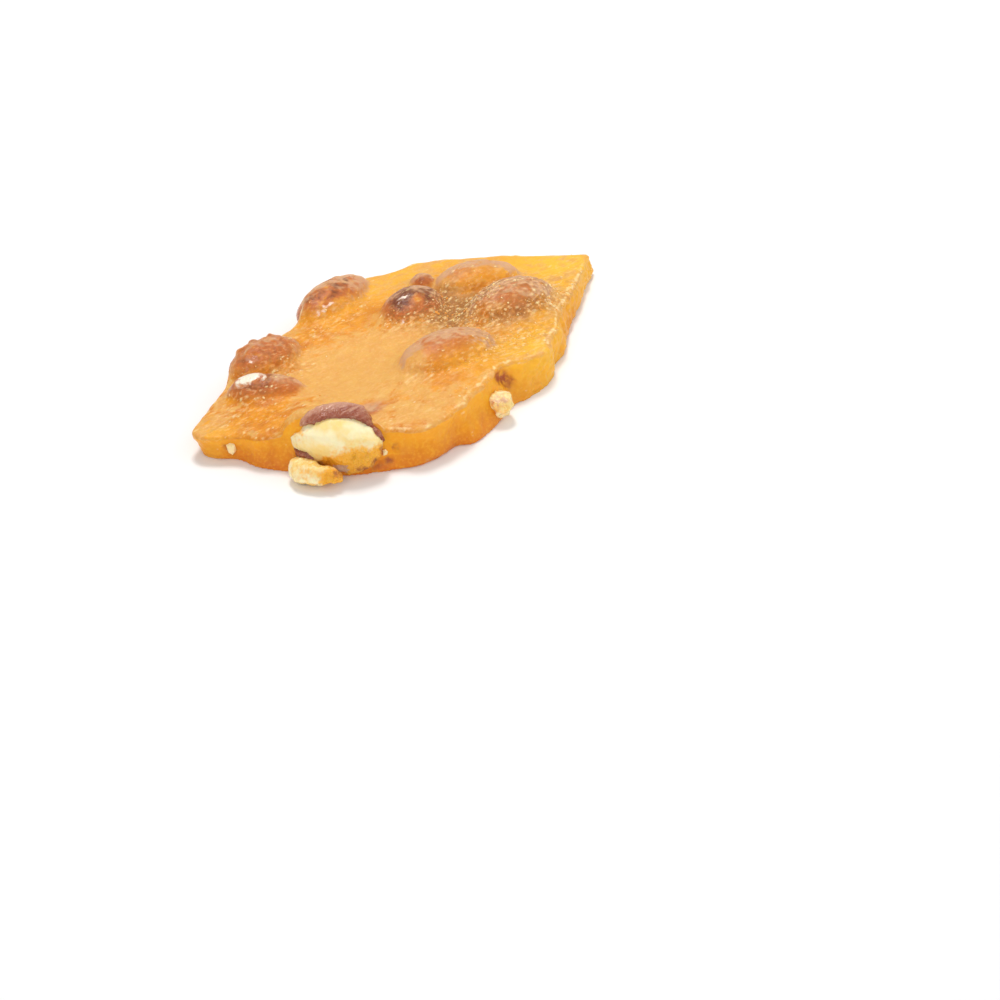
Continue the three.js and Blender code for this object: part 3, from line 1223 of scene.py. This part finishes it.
    def press(self) -> None:
        """Press the blank down to the poured surface."""
        points = get_points(self.piece)
        points[:, 2] *= self.sheet.height(points[:, 0], points[:, 1]) / self.blank
        set_points(self.piece, points)

    def flake(self) -> None:
        """Give the wall its shell-shaped flakes and pits, and the upper side its unevenness."""
        points = get_points(self.piece)
        x, y, z = points.T
        top = self.sheet.height(x, y)
        face = smooth_step(z / top, *self.top_from)
        wall = smooth_step(top - z, *self.wall_from) * smooth_step(z, *self.foot)
        self.gap = self.rim_gap(points)
        places = {
            "wall": wall, "face": face, "grit": face * np.clip(self.grit(x, y), 0.0, 1.0),
            "lumpy": wall * smooth_step(x, *self.lumpy_from),
            "rim": smooth_step(self.gap, *self.rim_width),
        }
        for name, values in places.items():
            set_group(self.piece, name, values)
        for relief in self.reliefs:
            displace(self.piece, *relief)
        self.smooth("rim", self.rim_smoothing)
        points, normals = get_points(self.piece), get_normals(self.piece)
        shares = [dent.share(points) for dent in self.dents]
        for dent, share in zip(self.dents, shares):
            points -= normals * (dent.depth * share)[:, None]
        set_points(self.piece, points)
        # How dark each pit is inside: painted shade, with some brown.
        self.scorched_and_shaded = sum(dent.scorch_and_shade * share for dent, share in zip(self.dents, shares))

    def grit(self, x: Array, y: Array) -> Array:
        """Lay sugar grit in patches and round the kernels, and none where the surface is calm.

        Args:
            x: Places in plan.
            y: Likewise.

        Returns:
            How much grit lies at each place.
        """
        calm = np.minimum(total(self.calm, x, y), 1.0)
        rough = self.roughness + total(self.gritty, x, y)
        for kernel in KERNELS:
            out = kernel.reach(x, y)
            ring = smooth_step(out, 0.4, 1.1) * smooth_step(out, 1.7, 1.1)
            ring *= smooth_step(kernel.facing(x, y, self.shade), 0.4, -0.2)
            rough = np.maximum(rough, kernel.grit * ring)
        return rough * (1.0 - calm)

    def rim_gap(self, points: Array, batch: int = 40) -> Array:
        """Measure from the upper corner of the wall.

        Args:
            points: Places, one row each.
            batch: Points of the rim that are taken at once.

        Returns:
            How far each place is from the rim.
        """
        coarse = self.edge.rim_points(self.sheet)
        ahead = np.roll(coarse, -1, 0) - coarse
        rim = np.concatenate([coarse + ahead * share for share in (0.0, 0.33, 0.67)])
        gap = np.full(len(points), np.inf)
        for start in range(0, len(rim), batch):
            away = points[:, None, :] - rim[None, start:start + batch, :]
            gap = np.minimum(gap, np.sqrt((away**2).sum(axis=2)).min(axis=1))
        return gap

    def shown_skins(self, points: Array) -> tuple[Array, Array, Array, Array]:
        """Let the kernels' skins show through the candy, with painted sheen on their far shoulders.

        Args:
            points: Places, one row each.

        Returns:
            Strength of the skin, of the painted sheen on it and of its blotches, and the sugar film.
        """
        x, y, z = points.T
        turned = get_normals(self.piece) @ np.array(self.front)
        skin, crest, mottle = (np.zeros(len(x)) for _ in range(3))
        film = self.film + total(self.hazy, x, y)
        for kernel in KERNELS:
            if kernel.skin == 0.0:
                continue
            out, tall = kernel.reach(x, y), kernel.size[2]
            near = smooth_step(out, 1.05 + 0.06 * kernel.drape, 0.9 - 0.1 * kernel.drape)
            near *= smooth_step(z, kernel.crown - 0.6 * tall, kernel.crown - 0.25 * tall)
            shoulder = smooth_step(kernel.facing(x, y, self.shade), -1.0, 0.3)
            strength = kernel.low + (1.0 - kernel.low) * shoulder
            skin = np.maximum(skin, kernel.skin * near * strength)
            mottle = np.maximum(mottle, kernel.mottle * near)
            # Painted sheen: a band where the surface turns away from the camera, on the far shoulder.
            band = smooth_step(turned, 0.74 + 0.5 * kernel.veil, 0.34 + 0.5 * kernel.veil)
            band *= smooth_step(out, 1.25, 0.85) * (0.2 + 0.8 * smooth_step(turned, -0.5, 0.05))
            crest = np.maximum(crest, kernel.crest * band)
            film -= kernel.clear * smooth_step(out, 1.3, 0.6) * (1.0 - band)
        return skin, crest, mottle, film

    def store_fields(self) -> None:
        """Store what the finish needs to know of each place."""
        points = get_points(self.piece)
        x, y, z = points.T
        below = self.sheet.height(x, y) - z
        upper = smooth_step(below, *self.upper_to)
        skin, crest, mottle, film = self.shown_skins(points)
        skin = skin * (1.0 - np.minimum(total(self.bare, x, y), 1.0))
        stain = total(self.stained, x, y) * upper
        fields = {
            "wall": smooth_step(below, 0.2, 1.6),
            "skin": skin + stain,
            "crest": (crest + total(self.painted_sheen_spots, x, y)) * upper,
            "mottle": np.maximum(mottle, np.minimum(stain, 1.0)),
            "rough": np.clip(self.grit(x, y), 0.0, 1.0) * upper,
            "haze": film,
            "thin": np.minimum(total(self.thinned, x, y), 1.0),
            "depth": 1.0 - z / self.deepest,
            # Painted highlight line along the rim.
            "rim": smooth_step(self.gap, *self.rim_highlight) * smooth_step(x, *self.rim_highlight_from),
            "scorch_and_shade": self.scorched_and_shaded,
            "painted_highlight": np.minimum(total(self.painted_highlights, x, y), 1.0) * upper,
            "dusk": total(self.dusky, x, y) * upper,
        }
        for name, values in fields.items():
            set_field(self.piece, name, values)


# ---- The peanuts ----


@dataclass(frozen=True)
class Face:
    """How a kernel in the broken edge looks on a plane that faces the front and leans back.

    Attributes:
        outline: Reach of the kernel from its middle, as shares of an oval's, at equal steps from
            the right-hand side over the top.
        skin: Reach of its torn skin, likewise, or nothing for no skin.
        opening: Reach of the hole in that skin.
        lumps: Size and depth of its unevenness.
        roast: Golden patches: place to the right and down, reach of each, and strength.
        scorch_and_shade: Dark patches, likewise: scorched roast, and painted shade in holes and in the
            crevices beside the kernel.
        scar: Pale torn patches, likewise.
        front: Direction that the plane faces.
        lean: How far it leans back, in degrees.
    """

    outline: Row
    skin: Row = ()
    opening: Row = ()
    lumps: Pair = (4.0, 0.6)
    roast: tuple[Row, ...] = ()
    scorch_and_shade: tuple[Row, ...] = ()
    scar: tuple[Row, ...] = ()
    front: Pair = (-0.6225, -0.7826)
    lean: float = 36.0

    def axes(self) -> Array:
        """Lay the plane that the outline is drawn on.

        Returns:
            The directions to the right and down the plane, one row each.
        """
        lean = math.radians(self.lean)
        return np.array([
            [-self.front[1], self.front[0], 0.0],
            [self.front[0] * math.sin(lean), self.front[1] * math.sin(lean), -math.cos(lean)],
        ])

    def spread(self, points: Array, kernel: Kernel) -> Array:
        """Return how far places lie to the right and down from a kernel's middle."""
        middle = np.array([*kernel.at, kernel.crown - kernel.size[2] / 2])
        return (points - middle) @ self.axes().T

    def turn(self, points: Array, kernel: Kernel) -> tuple[Array, Array]:
        """Measure round a kernel as it looks on the plane.

        Args:
            points: Places, one row each.
            kernel: The kernel.

        Returns:
            Direction of each place, and its distance, where 1 is the rim of the kernel's oval.
        """
        turn = math.radians(kernel.heading)
        frame = np.array([[math.cos(turn), -math.sin(turn), 0.0], [math.sin(turn), math.cos(turn), 0.0],
                          [0.0, 0.0, 1.0]]) * (np.array(kernel.size) / 2)
        seen = self.axes() @ frame
        place = self.spread(points, kernel)
        far = np.sqrt(np.einsum("ni,ij,nj->n", place, np.linalg.inv(seen @ seen.T), place))
        return np.arctan2(-place[:, 1], place[:, 0]), far

    def at_turn(self, turn: Array, values: Row) -> Array:
        """Return values given at equal steps round a circle."""
        steps = np.linspace(0.0, math.tau, len(values), endpoint=False)
        return np.interp(turn % math.tau, steps, values, period=math.tau)

    def patches(self, points: Array, kernel: Kernel, spots: tuple[Row, ...]) -> Array:
        """Spread a set of patches over a kernel.

        Args:
            points: Places, one row each.
            kernel: The kernel.
            spots: Place to the right and down, reach of each, and strength of each patch.

        Returns:
            Strength of the patches at each place.
        """
        right, down = self.spread(points, kernel).T
        total = np.zeros(len(points))
        for at, below, wide, tall, strength in spots:
            away = ((right - at) / wide) ** 2 + ((down - below) / tall) ** 2
            total = np.maximum(total, strength * np.exp(-away))
        return total


FACES = {
    "nut_edge_large": Face(
        (0.88, 0.88, 0.98, 1.08, 1.12, 1.1, 1.04, 0.98, 0.9, 0.8, 0.72, 0.74,
         0.9, 0.92, 0.9, 1, 1.05, 1.14, 1.24, 1.34, 1.4, 1.3, 1.14, 0.98),
        skin=(0.92, 0.9, 1.09, 1.29, 1.3, 1.2, 1.12, 1.05, 1, 0.93, 0.86, 0.72,
              0.7, 0.9, 1.02, 1.04, 1, 1, 1, 1, 1, 1, 1, 0.97),
        opening=(0.86, 0.82, 0.79, 0.76, 0.73, 0.68, 0.65, 0.63, 0.61, 0.59, 0.58, 0.74,
                 0.95, 0.93, 0.9, 0.95, 1.4, 2, 2, 2, 2, 2, 1.6, 1.1),
        lumps=(4, 0.8),
        roast=((4.6, 5.5, 6, 3.2, 1.5), (-0.9, 4.9, 2.6, 1.2, 1.2), (8, 3.2, 1.6, 1.8, 1),
               (1, -4.6, 7, 1.2, 0.8), (-6.6, -1, 1.6, 2, 0.6)),
        # These dark patches paint the shade in a hole and the shadow line under the kernel.
        scorch_and_shade=((9, 3.2, 0.9, 1.6, 0.9), (7.6, 5.2, 1.3, 1.1, 0.8), (5.2, 6.4, 3, 0.8, 0.8)),
        scar=((0.5, 6.4, 2.3, 1, 1),),
    ),
    "nut_edge_small": Face(
        (0.6, 0.3, 0.25, 0.3, 0.55, 0.85, 0.98, 1.2, 1.15, 1.1, 1.04, 1),
        lumps=(2.6, 0.7),
        # The broad last roast patch darkens the whole small kernel as painted shade.
        roast=((2.4, 2, 2.8, 2.4, 1.3), (-2.8, 3.6, 2.8, 0.9, 0.9), (-1, 0, 6, 5, 0.5)),
        scorch_and_shade=((-1.6, -1.9, 1.8, 0.5, 0.5), (3.6, 1.2, 1.6, 1.6, 0.7)),
    ),
    "nut_edge_right": Face(
        (0.84, 0.5, 0.42, 0.48, 0.58, 0.62, 0.72, 0.78, 0.92, 1.15, 1.25, 1.12),
        lumps=(1.6, 1),
        roast=((-1.4, 0, 1.6, 1.4, 0.8), (0, 2, 5, 5, 0.5)),
        scorch_and_shade=((-1.9, 1.2, 0.7, 1.2, 0.5),),
        scar=((0.6, 1.4, 3, 2.6, 0.55), (-1.6, -1.6, 2, 1.6, 0.6)),
    ),
}


@dataclass
class Peanuts:
    """All the kernels, each a piece of its own, and the torn skin on one of them.

    Attributes:
        segments: Faces round a kernel.
        ring_count: Faces along it.
        chipped: Node of the kernel whose skin is chipped.
        chip_at: Middle of the chip, along and across that kernel.
        chip_reach: Its reach, likewise.
        chip_proud: How far its flesh stands out.
        skin_thickness: How far torn skin stands out from the flesh.
        skin_sunk: How far it dives where it is torn away.
        back_sunk: How far the back of an open kernel shrinks, so that the candy covers it.
        foot: Height above the floor of the lowest kernel.
        lumps: Size and depth of the unevenness of a kernel under the candy.
        relief: Size and depth of the fine relief on every kernel.
        crazing: Size and pattern of the pits in roasted flesh.
        tear: Depth, size and pattern of the larger and the smaller raggedness of torn skin.
        buried_from: Distance behind the middle at which the back's shrinking starts and is whole.
        finishes: Material of each slot.
    """

    segments: int = 72
    ring_count: int = 48
    chipped: str = "nut_left_front"
    chip_at: Pair = (-2.7, -0.1)
    chip_reach: Pair = (4.6, 2.0)
    chip_proud: float = 0.8
    skin_thickness: float = 0.28
    skin_sunk: float = 1.6
    back_sunk: float = 2.4
    foot: float = 0.12
    lumps: Pair = (4.0, 0.5)
    relief: Pair = (1.1, 0.15)
    crazing: Pair = (0.9, 9.0)
    tear: tuple[Triple, Triple] = ((0.04, 1.4, 4.0), (0.03, 0.5, 8.0))
    buried_from: Pair = (1.6, 4.2)
    finishes: dict[Slot, Material] = field(default_factory=dict)

    def build(self) -> list[Piece]:
        """Set every kernel in its place, and the torn skin on those that are open.

        Returns:
            The finished pieces.
        """
        self.finishes = {Slot.SKIN: SkinFinish().build(), Slot.FLESH: FleshFinish().build()}
        pieces = [self.dress(kernel) for kernel in KERNELS]
        return pieces + [self.torn_skin(kernel) for kernel in KERNELS
                         if kernel.name in FACES and FACES[kernel.name].skin]

    def dress(self, kernel: Kernel) -> Piece:
        """Shape one kernel and give it its finish.

        Args:
            kernel: The kernel.

        Returns:
            The finished piece.
        """
        piece = self.ovoid(kernel.name.replace("nut_", "kernel_"), kernel)
        face = FACES.get(kernel.name)
        fields = self.sink_in(piece, kernel) if face is None else self.lay_open(piece, kernel, face)
        return self.finish(piece, kernel.slot, fields, kernel.name)

    def lay_open(self, piece: Piece, kernel: Kernel, face: Face) -> dict[str, Array]:
        """Give a bare kernel in the broken edge its outline, lumps and patches.

        Args:
            piece: Its mesh.
            kernel: The kernel.
            face: How it looks from the front.

        Returns:
            The fields that its finish reads.
        """
        self.reshape(piece, kernel, face, face.outline)
        displace(piece, "CLOUDS", *face.lumps)
        points = get_points(piece)
        fields = {name: face.patches(points, kernel, getattr(face, name))
                  for name in ("roast", "scorch_and_shade", "scar")}
        rough = np.clip(np.maximum(fields["roast"], fields["scorch_and_shade"]), 0.0, 1.0)
        shrink = rough * (0.4 + 0.6 * grain(points, *self.crazing))
        if face.skin:
            shrink += self.buried(points, kernel)
        set_points(piece, points - get_normals(piece) * shrink[:, None])
        return fields

    def sink_in(self, piece: Piece, kernel: Kernel) -> dict[str, Array]:
        """Make a kernel under the candy uneven, and chip the skin of one of them.

        Args:
            piece: Its mesh.
            kernel: The kernel.

        Returns:
            The fields that its finish reads.
        """
        displace(piece, "CLOUDS", *self.lumps)
        points = get_points(piece)
        none = np.zeros(len(points))
        chip = none
        if kernel.name == self.chipped:
            along, across = kernel.local(points[:, 0], points[:, 1])
            chip = bell(np.hypot((along - self.chip_at[0]) / self.chip_reach[0],
                                 (across - self.chip_at[1]) / self.chip_reach[1]))
            chip *= points[:, 2] > kernel.crown - kernel.size[2] / 2
            proud = self.chip_proud * smooth_step(chip, 0.0, 0.5)
            set_points(piece, points + get_normals(piece) * proud[:, None])
        return {"chip": chip, "violet": none, "dusty": none, "glazed": none}

    def finish(self, piece: Piece, slot: Slot, fields: dict[str, Array], node: str = "") -> Piece:
        """Give a piece its fine relief, its fields and its material, and tie it to the frame.

        Args:
            piece: The piece.
            slot: Its slot.
            fields: What its finish reads.
            node: CAD node that it stands for, or an empty name.

        Returns:
            The finished piece.
        """
        displace(piece, "CLOUDS", *self.relief)
        shade_smooth(piece)
        for name, values in fields.items():
            set_field(piece, name, values)
        piece.data.materials.append(self.finishes[slot])
        if node:
            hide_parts(node)
        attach(piece, "root")
        return piece

    def ovoid(self, name: str, kernel: Kernel, grow: float = 0.0, finer: int = 1) -> Piece:
        """Turn a unit ball into an ovoid with one slimmer end, and set it in its place.

        Args:
            name: Name of the piece.
            kernel: The kernel that gives its size and place.
            grow: How far it stands out from the kernel.
            finer: How many times finer its mesh is.

        Returns:
            The ovoid.
        """
        deselect_all()
        bpy.ops.mesh.primitive_uv_sphere_add(
            segments=self.segments * finer, ring_count=self.ring_count * finer, radius=1.0,
            rotation=(0.0, math.pi / 2, 0.0))
        bpy.ops.object.transform_apply(location=False, rotation=True, scale=False)
        piece = named(name)
        points = get_points(piece) * MM
        slim = 1.0 - kernel.taper * points[:, 0]
        points *= np.array(kernel.size) / 2 + grow
        points[:, 1:] *= slim[:, None]
        points[:, 2] -= kernel.sink * smooth_step(points[:, 2], 0.0, kernel.size[2] / 2)
        turn = math.radians(kernel.heading)
        x = points[:, 0] * math.cos(turn) - points[:, 1] * math.sin(turn) + kernel.at[0]
        y = points[:, 0] * math.sin(turn) + points[:, 1] * math.cos(turn) + kernel.at[1]
        set_points(piece, np.stack([x, y, points[:, 2] + kernel.crown - kernel.size[2] / 2], 1))
        return piece

    def reshape(self, piece: Piece, kernel: Kernel, face: Face, shares: Row) -> None:
        """Pull an outline in and out on its plane, and spread what would go through the floor.

        Args:
            piece: Its mesh.
            kernel: The kernel.
            face: The plane.
            shares: Reach of the outline at equal steps round it.
        """
        points = get_points(piece)
        turn, _ = face.turn(points, kernel)
        pull = face.at_turn(turn, shares) - 1.0
        points += (face.spread(points, kernel) * pull[:, None]) @ face.axes()
        through = np.maximum(self.foot - points[:, 2], 0.0)
        points[:, 2] += through
        points[:, :2] += through[:, None] * np.array(face.front) / math.tan(math.radians(face.lean))
        set_points(piece, points)

    def buried(self, points: Array, kernel: Kernel) -> Array:
        """Return how far the back of an open kernel shrinks at each place."""
        back = (points[:, :2] - np.array(kernel.at)) @ -np.array(FACES[kernel.name].front)
        return self.back_sunk * smooth_step(back, *self.buried_from)

    def torn_skin(self, kernel: Kernel) -> Piece:
        """Lay skin round an open kernel, which dives under the flesh where it is torn away.

        Args:
            kernel: The kernel.

        Returns:
            The finished skin.
        """
        face = FACES[kernel.name]
        piece = self.ovoid(kernel.name.replace("nut_", "skin_"), kernel, self.skin_thickness, 2)
        self.reshape(piece, kernel, face, face.skin)
        displace(piece, "CLOUDS", *face.lumps)
        points = get_points(piece)
        turn, far = face.turn(points, kernel)
        out = (points[:, :2] - np.array(kernel.at)) @ np.array(face.front)
        ragged = sum(depth * grain(points, size, seed) for depth, size, seed in self.tear)
        gone = smooth_step(face.at_turn(turn, face.opening) + ragged - far, 0.0, 0.03)
        gone *= smooth_step(out, -3.0, -2.4)
        sunk = self.skin_sunk * gone + self.buried(points, kernel)
        set_points(piece, points - get_normals(piece) * sunk[:, None])
        rim = far / face.at_turn(turn, face.skin)
        fields = {"chip": np.zeros(len(points)), "violet": np.ones(len(points)),
                  "dusty": 0.5 * smooth_step(rim, 0.7, 1.0) * smooth_step(turn, 0.4, 0.9),
                  "glazed": 0.45 * smooth_step(rim, 0.84, 1.0) * smooth_step(turn, 0.3, 0.6)}
        return self.finish(piece, Slot.SKIN, fields)


# ---- Crumbs ----


@dataclass(frozen=True)
class Crumb:
    """One larger crumb: its place, width, and tone from pale nut to amber candy."""

    at: Triple
    width: float
    tone: float


@dataclass
class Dust:
    """Sugar and crumbs that lie on the candy, in one joined mesh.

    Attributes:
        count: Grains that are scattered.
        smallest: Width of the smallest.
        largest: Width of the largest.
        seed: Start of the random draws.
        bunching: Power that gathers the grains where the candy is roughest.
        stray: Chance of a grain where it is smooth.
        along: Place along X where grains start to lie and lie as thick as they do.
        lowest: Height under which none lie.
        fineness: Power that makes most of the grains small.
        sunk: Share of its width that a grain is sunk.
        placed: Crumbs with a place of their own.
    """

    count: int = 520
    smallest: float = 0.22
    largest: float = 0.7
    seed: int = 11
    bunching: int = 3
    stray: float = 0.004
    along: Pair = (-40.0, 0.0)
    lowest: float = 3.0
    fineness: int = 4
    sunk: float = 0.1
    placed: tuple[Crumb, ...] = (
        Crumb((-44.7, -1.2, 2.9), 2.3, 0.0), Crumb((9.0, -8.5, 9.2), 1.3, 0.9),
        Crumb((10.2, -8.4, 8.9), 0.9, 0.5), Crumb((-25.9, -22.6, 3.8), 1.1, 0.1),
    )

    def build(self, candy: Piece) -> Piece:
        """Scatter the grains where the candy is rough, and lay the placed crumbs.

        Args:
            candy: The finished slab.

        Returns:
            The grains and crumbs.
        """
        rng = np.random.default_rng(self.seed)
        points, normals = get_points(candy), get_normals(candy)
        rough = self.read(candy, "rough") ** self.bunching + self.stray
        weight = rough * smooth_step(points[:, 0], *self.along) * (points[:, 2] > self.lowest)
        chosen = rng.choice(len(points), self.count, replace=False, p=weight / weight.sum())
        sizes = self.smallest + (self.largest - self.smallest) * rng.random(self.count) ** self.fineness
        places = points[chosen] - normals[chosen] * (self.sunk * sizes)[:, None]
        resting = [np.argmin(np.linalg.norm(points - np.array(crumb.at), axis=1))
                   for crumb in self.placed]
        places = np.concatenate([places, points[resting] + self.sunk * normals[resting]])
        sizes = np.concatenate([sizes, [crumb.width for crumb in self.placed]])
        tones = np.concatenate([rng.random(self.count), [crumb.tone for crumb in self.placed]])
        corners, sides = self.shard()
        verts, faces = [], []
        for number, (place, size) in enumerate(zip(places, sizes)):
            turn = Matrix.Rotation(rng.random() * math.tau, 3, Vector(rng.normal(size=3)).normalized())
            verts.append((corners * size * (0.5 + rng.random(3))) @ np.array(turn) + place)
            faces.append(sides + number * len(corners))
        mesh = bpy.data.meshes.new("sugar_dust")
        mesh.from_pydata((np.concatenate(verts) * MM).tolist(), [], np.concatenate(faces).tolist())
        piece = bpy.data.objects.new("sugar_dust", mesh)
        bpy.context.scene.collection.objects.link(piece)
        set_field(piece, "tone", np.repeat(tones, len(corners)))
        mesh.materials.append(SugarFinish().build())
        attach(piece, "root")
        return piece

    def read(self, piece: Piece, name: str) -> Array:
        """Read a number stored on each vertex.

        Args:
            piece: The piece.
            name: Name of the field.

        Returns:
            One value for each vertex.
        """
        values = np.empty(len(piece.data.vertices), np.float32)
        piece.data.attributes[name].data.foreach_get("value", values)
        return values.astype(float)

    def shard(self) -> tuple[Array, Array]:
        """Model one small grain from a ball of twenty faces.

        Returns:
            Its points and its faces.
        """
        deselect_all()
        bpy.ops.mesh.primitive_ico_sphere_add(subdivisions=1, radius=0.5)
        ball = bpy.context.object
        points = get_points(ball) * MM
        faces = np.array([list(face.vertices) for face in ball.data.polygons])
        bpy.data.objects.remove(ball)
        return points, faces


# ---- Studio ----


@dataclass
class Studio:
    """White floor, soft light and the camera.

    Attributes:
        camera_at: Place of the camera.
        camera_turn: Its angles, in degrees.
        lens: Its focal length.
        near: Nearest distance that it sees, in metres.
        surround: Strength of the light from all round.
        floor_size: Width of the floor, in metres.
        lamps: Name, place, width and power of each light.
    """

    camera_at: Triple = (-258.85, -318.21, 265.85)
    camera_turn: Triple = (54.012, 0.0, -41.45)
    lens: float = 90.0
    near: float = 0.01
    surround: float = 0.55
    floor_size: float = 3.0
    lamps: tuple[tuple[str, Triple, float, float], ...] = (
        ("key_light", (80, 160, 480), 130, 1.32),
        ("front_light", (-420, -360, 300), 520, 1.0),
        ("fill_light", (380, -260, 260), 420, 0.5),
    )

    def build(self) -> None:
        """Set everything up round the piece."""
        self.floor()
        self.world()
        for lamp in self.lamps:
            self.lamp(*lamp)
        self.camera()

    def floor(self) -> None:
        """Lay a wide white floor under the piece."""
        deselect_all()
        bpy.ops.mesh.primitive_plane_add(size=self.floor_size)
        piece = named("floor")
        piece.data.materials.append(FloorFinish().build())

    def world(self) -> None:
        """Light everything from a white surrounding."""
        world = bpy.data.worlds.new("studio")
        world.use_nodes = True
        backdrop = next(n for n in world.node_tree.nodes if n.type == "BACKGROUND")
        backdrop.inputs["Color"].default_value = (1.0, 1.0, 1.0, 1.0)
        backdrop.inputs["Strength"].default_value = self.surround
        bpy.context.scene.world = world
        bpy.context.scene.view_settings.view_transform = "Standard"

    def lamp(self, name: str, at: Triple, size: float, power: float) -> None:
        """Hang a square soft light that faces the piece.

        Args:
            name: Its name.
            at: Its place.
            size: Its width.
            power: Its power, in watts.
        """
        light = bpy.data.lights.new(name, "AREA")
        light.size = size * MM
        light.energy = power
        item = bpy.data.objects.new(name, light)
        item.location = Vector(at) * MM
        item.rotation_euler = (-item.location).to_track_quat("-Z", "Y").to_euler()
        bpy.context.scene.collection.objects.link(item)

    def camera(self) -> None:
        """Place the camera."""
        lens = bpy.data.cameras.new("camera")
        lens.lens = self.lens
        lens.clip_start = self.near
        item = bpy.data.objects.new("camera", lens)
        item.location = Vector(self.camera_at) * MM
        item.rotation_euler = [math.radians(angle) for angle in self.camera_turn]
        bpy.context.scene.collection.objects.link(item)
        bpy.context.scene.camera = item


def report(piece: Piece) -> None:
    """Log one finished piece."""
    LOG.info("%s: %d faces", piece.name, len(piece.data.polygons))


def main() -> None:
    """Build the piece and the studio round it."""
    logging.basicConfig(level=logging.INFO, format="%(name)s: %(message)s")
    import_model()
    candy = Candy(PouredSheet(), BrokenEdge()).build()
    report(candy)
    for kernel in Peanuts().build():
        report(kernel)
    report(Dust().build(candy))
    Studio().build()


if __name__ == "__main__":
    main()
